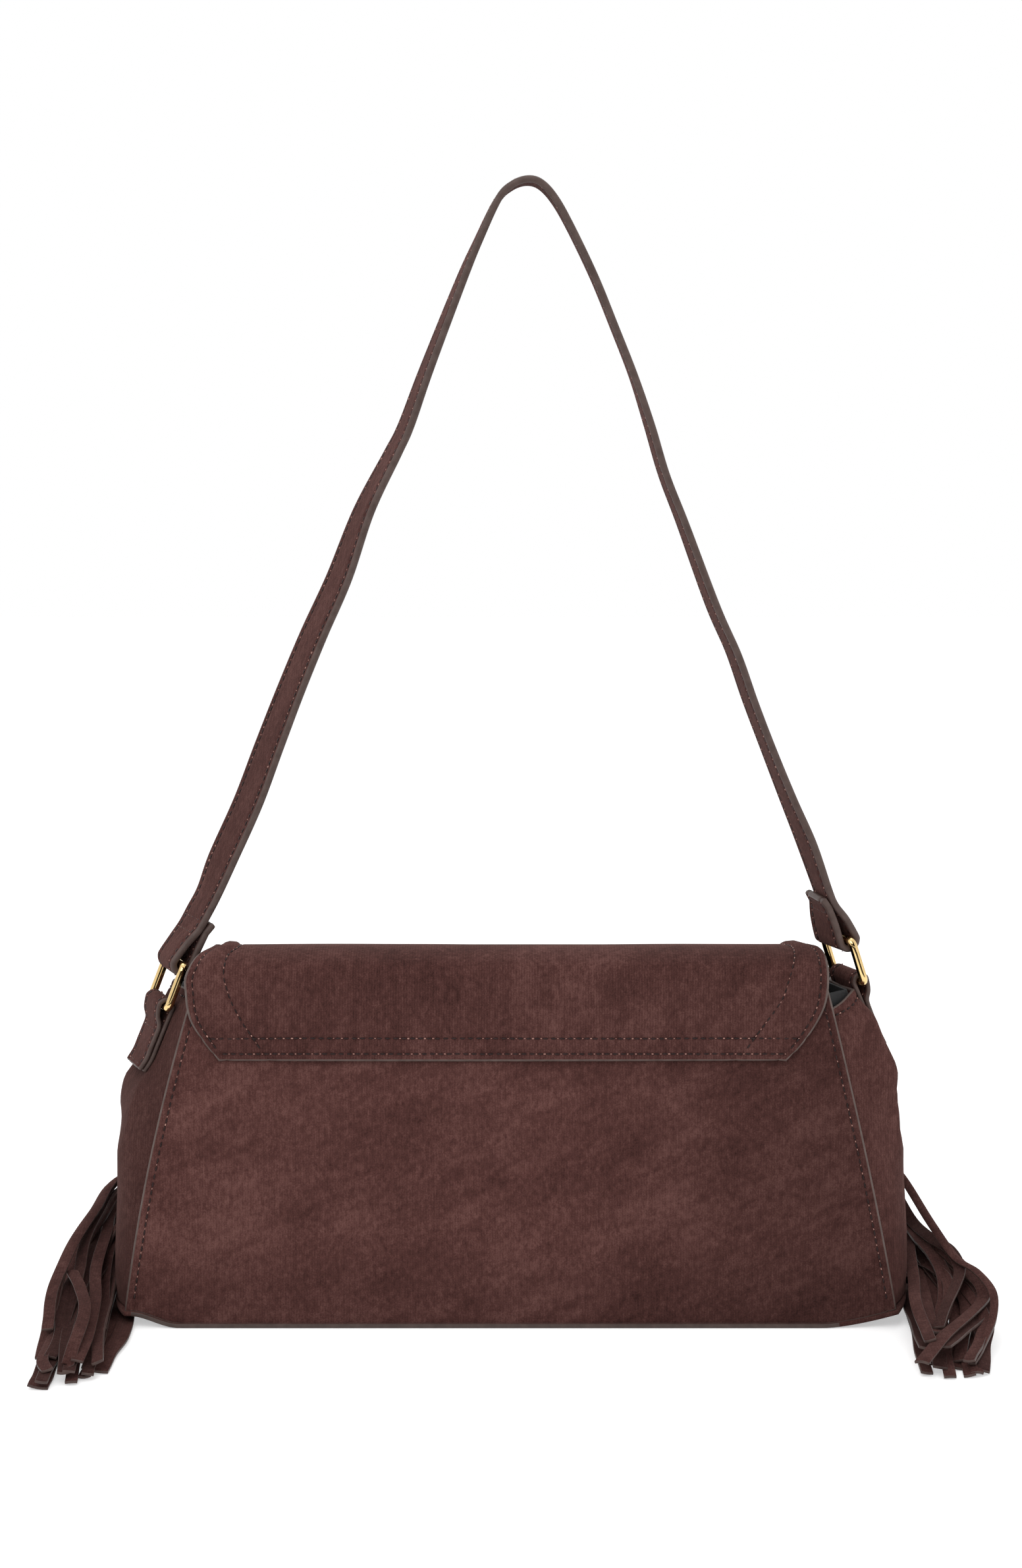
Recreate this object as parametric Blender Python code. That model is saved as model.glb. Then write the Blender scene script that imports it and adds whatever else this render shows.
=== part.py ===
# Flap-over shoulder bag in suede, with a strap on two metal rings and a strip tassel at each side.
# Metres, +Z up. The bag stands on its base at z = 0 with the strap held up.
# -Y is the bag's back, +Y its front, X its width.
import math

import bmesh
import bpy
from mathutils import Matrix, Vector

# Driving dimensions of the body
BODY_HALF_WIDTH = 0.1610      # back and front panels at the base
BODY_HALF_DEPTH = 0.0335      # outer faces of the panels at the base
MOUTH_TAPER = 0.0075          # how much the half depth shrinks at the taper height
TAPER_HEIGHT = 0.150
BACK_NARROWING = 0.183        # straight part of the back panel's narrowing, m per m
BACK_CURVE = 0.25             # curved part of it, per m
FRONT_NARROWING = 0.130
BACK_PANEL_TOP = 0.1470
FRONT_PANEL_TOP = 0.1405
FRONT_CORNER = 0.0125         # height over which the front panel's top corners round off
FRONT_CORNER_CUT = 0.0050
CORNER_RISE = 0.0060          # how far the base lifts at its ends
FLAT_HALF_LENGTH = 0.1300     # the base is flat up to here
RISE_POWER = 1.5

# Material thicknesses and the gap that touching pieces keep
PANEL_THICKNESS = 0.0018
BASE_THICKNESS = 0.0018
GUSSET_THICKNESS = 0.0015
LINING_THICKNESS = 0.0008
BOARD_THICKNESS = 0.0025
FLAP_THICKNESS = 0.0022
GAP = 0.0003
LINING_GAP = 0.0015

# Gusset: the centre line's distance from the bag's middle at each height
GUSSET_TOP = 0.1375
GUSSET_SEAM_RISE = 0.0012     # the top edge is a little higher at the seams
STRAIGHT_FROM = 0.1040        # above this the centre line is straight, under the tab
STRAIGHT_INSET = 0.0050       # how far it is inside the body's half width there
STRAIGHT_SLOPE = 0.50         # and how fast it comes in, m per m
GUSSET_SWELL = 0.0062         # how far the gusset stands out past the body's half width
# Shares of the gusset's height and of its swell
GUSSET_OUTLINE = (
    (0.0, 0.84), (0.145, 1.0), (0.364, 0.81), (0.501, 0.61), (0.583, 0.16), (0.666, -0.16), (0.708, -0.37),
)
FLANGE = 0.0080               # what is sewn behind each panel
SEAM_INSET = 0.0010           # the panels' edges stand out past the gusset by this
FOLD_HALF = 0.0115            # half the flat fold at the gusset's top, under the tab
FOLD_START = 0.062            # the fold fades in between these heights
FOLD_FULL = 0.0975
BULGE_POWER = 2.4
BASE_LIP = 0.0010             # the base panel's edge stands out past the panels by this

# Flap: one piece from the yoke on the back, over the mouth, to the front
YOKE_BOTTOM = 0.1132
FLAP_FRONT_BOTTOM = 0.0620
# On the back, from the yoke's bottom to the panel's top:
# share of that height, half width as a share of the body's, height of the side channel
YOKE_STATIONS = (
    (0.00, 0.720, 0.0), (0.12, 0.741, 0.05), (0.27, 0.766, 0.25), (0.44, 0.789, 0.8),
    (0.62, 0.810, 1.0), (0.80, 0.817, 1.0), (0.98, 0.813, 1.0),
)
# Over the mouth: shares of the body's half depth and of the back panel's height, then as above
MOUTH_STATIONS = (
    (-0.794, 1.0285, 0.798, 1.0), (-0.597, 1.0510, 0.784, 1.0), (-0.328, 1.0590, 0.774, 1.0),
    (0.000, 1.0515, 0.770, 1.0), (0.343, 1.0340, 0.774, 1.0), (0.642, 1.0070, 0.789, 1.0),
    (0.834, 0.9725, 0.807, 1.0),
)
# Down the front, from the panel's top to the flap's bottom: share of that height,
# share of the stand-off from the panel, then as above
FRONT_STATIONS = (
    (0.060, 0.48, 0.820, 1.0), (0.210, 0.68, 0.829, 1.0), (0.414, 0.94, 0.835, 1.0),
    (0.618, 1.00, 0.832, 0.8), (0.796, 1.00, 0.814, 0.3), (0.911, 1.00, 0.786, 0.0), (1.000, 1.00, 0.755, 0.0),
)
CHANNEL_HEIGHT = 0.0020
CHANNEL_INNER = 0.860         # seams of the side channel, as shares of the half width
CHANNEL_OUTER = 0.979

# Strap, rings and tabs
RING_YAW = math.radians(20.0) # the rings' axes turn this far from the bag's depth
RING_WIRE = 0.0035
RING_HEIGHT = 0.0225
RING_WIDTH = 0.0323
RING_CORNER = 0.0027
RING_LEAN = {"left": math.radians(21.9), "right": math.radians(18.9)}
RING_SEAT_HEIGHT = {"left": 0.1290, "right": 0.1394}
STRAP_WIDTH = 0.0225
STRAP_THICKNESS = 0.0029
STRAP_LEAN = {"left": math.radians(31.0), "right": math.radians(23.0)}
FOLD_BACK = 0.0195            # length of the strap's folded end above each bar
LOOP_CLEARANCE = 0.00045
LOOP_LENGTH = 0.0120          # above each bar, where the strap's two layers come together
TAB_WIDTH = 0.0215
TAB_THICKNESS = 0.0018
TAB_LENGTH = 0.0285
TAB_SPREAD = 0.0085           # below the bar, where the two layers come together

STRAP_FOOT = 0.1600           # the strap's free part runs between these heights
STRAP_TOP = 0.4711
# Centre of the strap, hand-placed: share of the body's half width, share of the free
# part's height, yaw in degrees
STRAP_ROUTE = (
    (-0.788, 0.056, 25.0), (-0.751, 0.102, 29.5), (-0.684, 0.178, 29.5), (-0.627, 0.255, 28.5),
    (-0.570, 0.330, 27.0), (-0.509, 0.405, 26.0), (-0.443, 0.480, 24.0), (-0.378, 0.569, 18.5),
    (-0.304, 0.644, 14.5), (-0.269, 0.681, 12.5), (-0.216, 0.755, 10.0), (-0.127, 0.871, 6.5),
    (-0.083, 0.923, 4.0), (-0.034, 0.975, 2.5), (0.001, 0.993, 2.0), (0.040, 1.000, 2.0),
    (0.075, 0.995, 1.0), (0.111, 0.975, 0.5), (0.152, 0.938, 0.0), (0.212, 0.874, 0.0),
    (0.263, 0.810, 0.0), (0.312, 0.746, 0.5), (0.353, 0.682, 2.5), (0.391, 0.617, 3.0),
    (0.440, 0.552, 4.0), (0.519, 0.443, 6.0), (0.573, 0.380, 6.5), (0.617, 0.316, 7.0),
    (0.665, 0.252, 7.5), (0.715, 0.188, 9.5), (0.763, 0.129, 12.5),
)

# Base board
BOARD_HALF_LENGTH = 0.1280
BOARD_MARGIN = 0.0045

# Snap on the flap and the front panel
SNAP_RADIUS = 0.0090
SNAP_THICKNESS = 0.0015
SNAP_HEIGHT = 0.0800

# Tassels: strips in lanes and layers that fan out from a rolled head
STRIP_WIDTH = 0.0044
STRIP_THICKNESS = 0.0013
HEAD_RADIUS = 0.0070
HEAD_LENGTH = 0.0220
HEAD_INSET = 0.0180           # the head's top, inside the body's half width
HEAD_STANDOFF = 0.0145        # and before the front panel
HEAD_HEIGHT = 0.0800
HEAD_AXIS = (0.45, -0.02, -0.89)
BAND_THICKNESS = 0.0012
BAND_LENGTH = 0.0080
BAND_START = 0.0050
HANGER_WIDTH = 0.0080
HANGER_TOP = 0.1120
LANES = 5
LAYERS = 2
HEAD_LANE_PITCH = 0.0029
HEAD_LAYER_PITCH = 0.0046
LANE_PITCH = 0.0050
LAYER_PITCH = 0.0021
HEAD_ROLL = math.radians(64.0)
FAN_END = 0.50                # share of the way along where the strips lie flat

TASSEL_REACH = 0.1120         # how far the strips lie towards the bag's back
# Middle of each bundle after its head, hand-placed, as shares of the reach:
# distance out past the body's half width, y, z
BUNDLE = {
    "left": (
        (0.063, 0.420, 0.3571), (0.179, 0.223, 0.2054), (0.214, -0.071, 0.0982),
        (0.187, -0.375, 0.0536), (0.152, -0.696, 0.0304), (0.125, -1.000, 0.0214),
    ),
    "right": (
        (0.071, 0.420, 0.3929), (0.201, 0.259, 0.2500), (0.259, -0.018, 0.1250),
        (0.219, -0.321, 0.0589), (0.165, -0.625, 0.0321), (0.134, -0.884, 0.0214),
    ),
}
# Where each strip is cut off, as a share of its bundle's length: lower layer, then upper
STRIP_CUTS = {
    "left": ((0.90, 0.97, 0.86, 1.00, 0.78), (0.83, 0.75, 0.95, 0.91, 0.66)),
    "right": ((0.86, 0.98, 0.92, 1.00, 0.95), (0.93, 0.84, 0.97, 0.88, 0.80)),
}

# Colours from the photo: red, green, blue, roughness, metallic
SUEDE = (0.072, 0.032, 0.027, 0.95, 0.0)
LINING_BLACK = (0.010, 0.010, 0.011, 0.80, 0.0)
BOARD_GREY = (0.25, 0.23, 0.20, 0.90, 0.0)
GOLD = (0.83, 0.60, 0.27, 0.18, 1.0)

SIDES = {"left": -1.0, "right": 1.0}


def clear_scene():
    for old in list(bpy.data.objects):
        bpy.data.objects.remove(old, do_unlink=True)


def material(name, look):
    made = bpy.data.materials.new(name)
    made.use_nodes = True
    shader = made.node_tree.nodes["Principled BSDF"]
    shader.inputs["Base Color"].default_value = (look[0], look[1], look[2], 1.0)
    shader.inputs["Roughness"].default_value = look[3]
    shader.inputs["Metallic"].default_value = look[4]
    return made


def to_object(name, bm, look, origin=(0.0, 0.0, 0.0), sharp=35.0):
    """Turns a bmesh in world coordinates into an object whose origin is at the given point."""
    bmesh.ops.recalc_face_normals(bm, faces=bm.faces)
    bmesh.ops.translate(bm, verts=bm.verts, vec=-Vector(origin))
    mesh = bpy.data.meshes.new(name)
    bm.to_mesh(mesh)
    bm.free()
    mesh.shade_smooth()
    mesh.set_sharp_from_angle(angle=math.radians(sharp))
    mesh.materials.append(material(name, look))
    made = bpy.data.objects.new(name, mesh)
    made.location = origin
    bpy.context.collection.objects.link(made)
    return made


def smoothstep(low, high, value):
    t = min(1.0, max(0.0, (value - low) / (high - low)))
    return t * t * (3.0 - 2.0 * t)


def lookup(table, height):
    """Straight-line reading of a (height, value) outline."""
    for (z0, v0), (z1, v1) in zip(table, table[1:]):
        if height <= z1:
            return v0 + (v1 - v0) * (height - z0) / (z1 - z0)
    return table[-1][1]


def smooth_path(points, steps):
    """Catmull-Rom curve through points of any dimension, with steps samples a span."""
    tuples = [tuple(p) for p in points]
    ends = [tuple(2 * a - b for a, b in zip(tuples[0], tuples[1]))]
    ends.append(tuple(2 * a - b for a, b in zip(tuples[-1], tuples[-2])))
    padded = [ends[0]] + tuples + [ends[1]]
    result = []
    for i in range(1, len(padded) - 2):
        p0, p1, p2, p3 = padded[i - 1:i + 3]
        for k in range(steps):
            t = k / steps
            result.append(tuple(
                0.5 * (2 * b + (c - a) * t + (2 * a - 5 * b + 4 * c - d) * t * t
                       + (3 * b - a - 3 * c + d) * t ** 3)
                for a, b, c, d in zip(p0, p1, p2, p3)))
    result.append(tuples[-1])
    return result


def gusset_line():
    """Heights and distances from the middle down the gusset's centre line."""
    rows = [(z * GUSSET_TOP, BODY_HALF_WIDTH + swell * GUSSET_SWELL) for z, swell in GUSSET_OUTLINE]
    start = BODY_HALF_WIDTH - STRAIGHT_INSET
    rows.append((STRAIGHT_FROM, start))
    rows.append((2 * STRAIGHT_FROM, start - STRAIGHT_SLOPE * STRAIGHT_FROM))
    return rows


def half_depth(z):
    return BODY_HALF_DEPTH - MOUTH_TAPER * (z / TAPER_HEIGHT) ** 2


def back_half_width(z):
    return BODY_HALF_WIDTH - BACK_NARROWING * z - BACK_CURVE * z * z


def front_half_width(z):
    rounding = max(0.0, (z - FRONT_PANEL_TOP + FRONT_CORNER) / FRONT_CORNER)
    return BODY_HALF_WIDTH - FRONT_NARROWING * z - FRONT_CORNER_CUT * rounding ** 2


def base_rise(x):
    share = max(0.0, (abs(x) - FLAT_HALF_LENGTH) / (BODY_HALF_WIDTH - FLAT_HALF_LENGTH))
    return CORNER_RISE * share ** RISE_POWER


def panel_foot(x):
    return base_rise(x) + BASE_THICKNESS + GAP


def sheet_solid(rows, thickness, bump=None, closed=False):
    """A grid of points thickened evenly about its middle; bump adds height to one face."""
    bm = bmesh.new()
    count_u, count_v = len(rows), len(rows[0])
    faces = []
    for side in (0.5, -0.5):
        layer = []
        for i in range(count_u):
            line = []
            for j in range(count_v):
                along = rows[min(i + 1, count_u - 1)][j] - rows[max(i - 1, 0)][j]
                if closed:
                    across = rows[i][(j + 1) % count_v] - rows[i][j - 1]
                else:
                    across = rows[i][min(j + 1, count_v - 1)] - rows[i][max(j - 1, 0)]
                normal = along.cross(across).normalized()
                extra = bump(i, j) if bump and side > 0 else 0.0
                line.append(bm.verts.new(rows[i][j] + normal * (side * thickness + extra)))
            layer.append(line)
        faces.append(layer)
    last = count_v if closed else count_v - 1
    for layer in faces:
        for i in range(count_u - 1):
            for j in range(last):
                k = (j + 1) % count_v
                bm.faces.new((layer[i][j], layer[i + 1][j], layer[i + 1][k], layer[i][k]))
    front, back = faces
    for i in (0, count_u - 1):
        for j in range(last):
            k = (j + 1) % count_v
            bm.faces.new((front[i][j], front[i][k], back[i][k], back[i][j]))
    if not closed:
        for j in (0, count_v - 1):
            for i in range(count_u - 1):
                bm.faces.new((front[i][j], front[i + 1][j], back[i + 1][j], back[i][j]))
    return bm


def ribbon_solid(centres, across, width, thickness):
    """A strip of rectangular section along centres, with its width direction at each point."""
    rows = []
    for centre, direction in zip(centres, across):
        rows.append([centre - direction * (width / 2), centre + direction * (width / 2)])
    return sheet_solid(rows, thickness)


def tube_solid(path, radius, sides):
    """A closed ring of wire along a closed path."""
    bm = bmesh.new()
    rings = []
    count = len(path)
    middle = sum(path, Vector()) / count
    for i in range(count):
        tangent = (path[(i + 1) % count] - path[i - 1]).normalized()
        outward = path[i] - middle
        outward = (outward - tangent * outward.dot(tangent)).normalized()
        other = tangent.cross(outward)
        rings.append([
            bm.verts.new(path[i] + outward * (radius * math.cos(a)) + other * (radius * math.sin(a)))
            for a in (2 * math.pi * k / sides for k in range(sides))])
    for i in range(count):
        near, far = rings[i], rings[(i + 1) % count]
        for k in range(sides):
            m = (k + 1) % sides
            bm.faces.new((near[k], near[m], far[m], far[k]))
    return bm


def panel(name, side, half_width, top, columns, rows):
    """Back (side -1) or front (side +1) panel, from the base to its top edge."""
    grid = []
    for i in range(rows + 1):
        share = i / rows
        line = []
        for j in range(columns + 1):
            x = (2 * j / columns - 1) * half_width(share * top)
            foot = panel_foot(x)
            z = foot + (top - foot) * share
            y = side * (half_depth(z) - PANEL_THICKNESS / 2)
            line.append(Vector(((2 * j / columns - 1) * half_width(z), y, z)))
        grid.append(line)
    return to_object(name, sheet_solid(grid, PANEL_THICKNESS), SUEDE)


def gusset_depth(z):
    """How far the gusset's middle surface is from the bag's middle, behind each panel."""
    return half_depth(z) - PANEL_THICKNESS - GAP - GUSSET_THICKNESS / 2


FOLD_STATIONS = (-1.0, -0.82, -0.63, -0.45, -0.30, -0.15, 0.0, 0.15, 0.30, 0.45, 0.63, 0.82, 1.0)
FOLD_EDGE = 0.45


def gusset_point(side, u, z):
    """Plan position of the gusset's middle surface: u runs from the back seam to the front one."""
    centre = side * lookup(gusset_line(), z)
    depth = gusset_depth(z)
    back = side * (back_half_width(z) - SEAM_INSET)
    front = side * (front_half_width(z) - SEAM_INSET)
    seam = back if u < 0 else front
    round_x = seam + (centre - seam) * (1.0 - abs(u) ** BULGE_POWER)
    round_y = u * depth
    fold_x, fold_y = FOLD_HALF * math.sin(RING_YAW), FOLD_HALF * math.cos(RING_YAW)
    if abs(u) <= FOLD_EDGE:
        flat_x = centre - fold_x * u / FOLD_EDGE
        flat_y = fold_y * u / FOLD_EDGE
    else:
        sign = math.copysign(1.0, u)
        t = (abs(u) - FOLD_EDGE) / (1.0 - FOLD_EDGE)
        flat_x = (centre - sign * fold_x) * (1.0 - t) + seam * t
        flat_y = sign * (fold_y * (1.0 - t) + depth * t)
    blend = smoothstep(FOLD_START, FOLD_FULL, z)
    return round_x + (flat_x - round_x) * blend, round_y + (flat_y - round_y) * blend


def gusset_line_at(side, z):
    """The gusset's section at one height with its two flanges, back to front."""
    depth = gusset_depth(z)
    line = [(side * (back_half_width(z) - SEAM_INSET - FLANGE), -depth)]
    line += [gusset_point(side, u, z) for u in FOLD_STATIONS]
    line.append((side * (front_half_width(z) - SEAM_INSET - FLANGE), depth))
    return line


def gusset(name, side, rows=13):
    grid = []
    for i in range(rows + 1):
        share = i / rows
        line = []
        for j in range(len(FOLD_STATIONS) + 2):
            x = gusset_line_at(side, 0.0)[j][0]
            foot = panel_foot(x) + GUSSET_THICKNESS / 2
            u = FOLD_STATIONS[min(max(j - 1, 0), len(FOLD_STATIONS) - 1)]
            top = GUSSET_TOP + GUSSET_SEAM_RISE * abs(u)
            z = foot + (top - foot) * share
            x, y = gusset_line_at(side, z)[j]
            line.append(Vector((x, y, z)))
        grid.append(line)
    return to_object(name, sheet_solid(grid, GUSSET_THICKNESS), SUEDE)


def base_panel(columns=28, rows=4):
    """The bottom, flat in the middle and lifted at its ends, which follow the gussets."""
    def edge(u):
        section = gusset_point(1.0, u, 0.0)
        return section[0] + SEAM_INSET

    grid = []
    for i in range(rows + 1):
        u = 2 * i / rows - 1
        y = u * (BODY_HALF_DEPTH + BASE_LIP)
        line = []
        for j in range(columns + 1):
            share = 2 * j / columns - 1
            x = share * edge(max(-0.999, min(0.999, u)))
            line.append(Vector((x, y, base_rise(x) + BASE_THICKNESS / 2)))
        grid.append(line)
    bm = bmesh.new()
    tops = [[bm.verts.new(p + Vector((0, 0, BASE_THICKNESS / 2))) for p in line] for line in grid]
    bottoms = [[bm.verts.new(p - Vector((0, 0, BASE_THICKNESS / 2))) for p in line] for line in grid]
    for layer in (tops, bottoms):
        for i in range(rows):
            for j in range(columns):
                bm.faces.new((layer[i][j], layer[i + 1][j], layer[i + 1][j + 1], layer[i][j + 1]))
    for i in (0, rows):
        for j in range(columns):
            bm.faces.new((tops[i][j], tops[i][j + 1], bottoms[i][j + 1], bottoms[i][j]))
    for j in (0, columns):
        for i in range(rows):
            bm.faces.new((tops[i][j], tops[i + 1][j], bottoms[i + 1][j], bottoms[i][j]))
    return to_object("base_panel", bm, SUEDE)


def box_solid(low, high):
    bm = bmesh.new()
    bmesh.ops.create_cube(bm, size=1.0)
    size = Vector(high) - Vector(low)
    centre = (Vector(high) + Vector(low)) / 2
    bmesh.ops.transform(bm, matrix=Matrix.Translation(centre) @ Matrix.Diagonal((*size, 1.0)), verts=bm.verts)
    return bm


def base_board():
    low_z = base_rise(BOARD_HALF_LENGTH) + BASE_THICKNESS + GAP
    half_y = gusset_depth(0.0) - GUSSET_THICKNESS / 2 - BOARD_MARGIN
    bm = box_solid((-BOARD_HALF_LENGTH, -half_y, low_z), (BOARD_HALF_LENGTH, half_y, low_z + BOARD_THICKNESS))
    return to_object("base_board", bm, BOARD_GREY)


LINING_TOP_INSET = 0.0020     # the lining ends this far below the front panel's top
LINING_ROWS = 7


def lining_foot():
    """Height of the lining's bottom, over the lifted ends of the base."""
    return base_rise(BODY_HALF_WIDTH + GUSSET_SWELL) + BASE_THICKNESS + GAP


def lining_loop(z, inset):
    """One closed loop of the lining at a height: gusset sections moved inward and joined up."""
    loop = []
    for side in (1.0, -1.0):
        line = [Vector((x, y, z)) for x, y in gusset_line_at(side, z)]
        moved = []
        for j, point in enumerate(line):
            across = line[min(j + 1, len(line) - 1)] - line[max(j - 1, 0)]
            normal = Vector((-across.y, across.x, 0.0)).normalized() * side
            moved.append(point + normal * inset)
        loop += moved if side > 0 else moved[::-1]
    return loop


def lining():
    """Open-topped cup of lining cloth inside the panels, gussets and base."""
    inset = GUSSET_THICKNESS / 2 + LINING_GAP
    bm = bmesh.new()
    outer, inner = [], []
    foot, top = lining_foot(), FRONT_PANEL_TOP - LINING_TOP_INSET
    for i in range(LINING_ROWS + 1):
        z = foot + (top - foot) * i / LINING_ROWS
        outer.append([bm.verts.new(p) for p in lining_loop(z, inset)])
        lifted = max(z, foot + LINING_THICKNESS)
        inner.append([bm.verts.new(p) for p in lining_loop(lifted, inset + LINING_THICKNESS)])
    count = len(outer[0])
    for layer in (outer, inner):
        for i in range(LINING_ROWS):
            for j in range(count):
                k = (j + 1) % count
                bm.faces.new((layer[i][j], layer[i][k], layer[i + 1][k], layer[i + 1][j]))
        bm.faces.new(layer[0])
    for j in range(count):
        k = (j + 1) % count
        bm.faces.new((outer[-1][j], outer[-1][k], inner[-1][k], inner[-1][j]))
    return to_object("lining", bm, LINING_BLACK)


def flap_route():
    """The flap's centre line: y, z, half width and how far the side channels are raised."""
    against = GAP + FLAP_THICKNESS / 2
    standoff = 2 * SNAP_THICKNESS + 3 * GAP + FLAP_THICKNESS / 2
    route = []
    for share, width, raised in YOKE_STATIONS:
        z = YOKE_BOTTOM + (BACK_PANEL_TOP - YOKE_BOTTOM) * share
        route.append((-half_depth(z) - against, z, width * BODY_HALF_WIDTH, raised))
    for depth, height, width, raised in MOUTH_STATIONS:
        route.append((depth * BODY_HALF_DEPTH, height * BACK_PANEL_TOP, width * BODY_HALF_WIDTH, raised))
    for share, off, width, raised in FRONT_STATIONS:
        z = FRONT_PANEL_TOP + (FLAP_FRONT_BOTTOM - FRONT_PANEL_TOP) * share
        route.append((half_depth(z) + standoff * off, z, width * BODY_HALF_WIDTH, raised))
    return route


CHANNEL_STATIONS = (
    0.0, 0.30, 0.58, 0.76, CHANNEL_INNER, 0.882, 0.918, 0.954, CHANNEL_OUTER, 1.0,
)


def flap():
    stations = sorted({s * f for s in (-1.0, 1.0) for f in CHANNEL_STATIONS})
    route = flap_route()
    grid = [[Vector((s * half, y, z)) for s in stations] for y, z, half, _ in route]

    def bump(i, j):
        share = (abs(stations[j]) - CHANNEL_INNER) / (CHANNEL_OUTER - CHANNEL_INNER)
        if not 0.0 < share < 1.0:
            return 0.0
        return CHANNEL_HEIGHT * max(0.0, route[i][3]) * math.sin(math.pi * share) ** 0.7

    grid = [line[::-1] for line in grid]
    stations = stations[::-1]
    return to_object("flap", sheet_solid(grid, FLAP_THICKNESS, bump), SUEDE)


def disc_solid(centre, normal, radius, thickness, sides=28):
    bm = bmesh.new()
    bmesh.ops.create_cone(bm, cap_ends=True, segments=sides, radius1=radius, radius2=radius, depth=thickness)
    turn = Vector((0, 0, 1)).rotation_difference(normal).to_matrix().to_4x4()
    bmesh.ops.transform(bm, matrix=Matrix.Translation(centre) @ turn, verts=bm.verts)
    return bm


def snap():
    """Magnetic snap: the socket on the front panel and the stud under the flap."""
    slope = (half_depth(SNAP_HEIGHT + GAP) - half_depth(SNAP_HEIGHT - GAP)) / (2 * GAP)
    normal = Vector((0.0, 1.0, -slope)).normalized()
    face = Vector((0.0, half_depth(SNAP_HEIGHT), SNAP_HEIGHT))
    socket_at = face + normal * (GAP + SNAP_THICKNESS / 2)
    stud_at = socket_at + normal * (GAP + SNAP_THICKNESS)
    to_object("snap_socket", disc_solid(socket_at, normal, SNAP_RADIUS, SNAP_THICKNESS), GOLD)
    to_object("snap_stud", disc_solid(stud_at, normal, SNAP_RADIUS, SNAP_THICKNESS), GOLD)


AXIS = Vector((-math.sin(RING_YAW), math.cos(RING_YAW), 0.0))   # all ring pivots turn about this
PLANE = Vector((math.cos(RING_YAW), math.sin(RING_YAW), 0.0))   # level, square to the pivots
UP = Vector((0.0, 0.0, 1.0))
BAR_SPAN = RING_HEIGHT - RING_WIRE


def seat_directions(hand):
    """Up the gusset's flat fold square to the ring's axis, out of the fold, and its lean along the axis."""
    side = SIDES[hand]
    line = Vector((-side * STRAIGHT_SLOPE, 0.0, 1.0))
    square = line - AXIS * line.dot(AXIS)
    up = square.normalized()
    return up, AXIS.cross(up) * side, line.dot(AXIS) / square.length


def lower_bar(hand):
    """Centre of the ring's lower bar, held off the gusset by one layer of the tab."""
    height = RING_SEAT_HEIGHT[hand]
    _, out, _ = seat_directions(hand)
    off = GUSSET_THICKNESS / 2 + GAP + TAB_THICKNESS + GAP + RING_WIRE / 2
    return Vector((SIDES[hand] * lookup(gusset_line(), height), 0.0, height)) + out * off


def ring_up(hand):
    lean = RING_LEAN[hand]
    return PLANE * (-SIDES[hand] * math.sin(lean)) + UP * math.cos(lean)


def upper_bar(hand):
    return lower_bar(hand) + ring_up(hand) * BAR_SPAN


def ring(hand, corner_steps=3):
    """Rounded rectangle of wire; its lower bar is the pivot."""
    up = ring_up(hand)
    low = lower_bar(hand)
    half = (RING_WIDTH - RING_WIRE) / 2
    corner = RING_CORNER
    path = []
    for cx, cy, start in (
        (half - corner, corner, -90), (half - corner, BAR_SPAN - corner, 0),
        (corner - half, BAR_SPAN - corner, 90), (corner - half, corner, 180),
    ):
        for k in range(corner_steps + 1):
            angle = math.radians(start + 90 * k / corner_steps)
            a = cx + corner * math.cos(angle)
            b = cy + corner * math.sin(angle)
            path.append(low + AXIS * a + up * b)
    return to_object(f"ring_{hand}", tube_solid(path, RING_WIRE / 2, 10), GOLD, origin=low, sharp=60)


def loop_points(centre, up, out, radius, spread, reach_out, reach_in, lay):
    """Half a strip's fold round a bar: from the outer leg, round the bar's far side, to the inner leg.

    up points from the bar along the legs, out is square to it on the outer side, and lay is how
    far each leg's centre is from the axis line once the two legs lie together.
    """
    points = [centre + up * reach_out + out * lay]
    points.append(centre + up * spread + out * lay)
    points.append(centre + up * (spread * 0.55) + out * (radius * 0.45 + lay * 0.55))
    for k in range(7):
        angle = math.radians(-6 + 192 * k / 6)
        points.append(centre + out * (radius * math.cos(angle)) - up * (radius * math.sin(angle)))
    points.append(centre + up * (spread * 0.55) - out * (radius * 0.45 + lay * 0.55))
    points.append(centre + up * spread - out * lay)
    points.append(centre + up * reach_in - out * lay)
    return points


def strap_loop(hand):
    side = SIDES[hand]
    lean = STRAP_LEAN[hand]
    up = PLANE * (-side * math.sin(lean)) + UP * math.cos(lean)
    out = PLANE * (side * math.cos(lean)) + UP * math.sin(lean)
    radius = RING_WIRE / 2 + LOOP_CLEARANCE + STRAP_THICKNESS / 2
    lay = (STRAP_THICKNESS + GAP) / 2
    reach = FOLD_BACK + STRAP_THICKNESS
    return loop_points(upper_bar(hand), up, out, radius, LOOP_LENGTH, reach, FOLD_BACK, lay)


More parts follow.
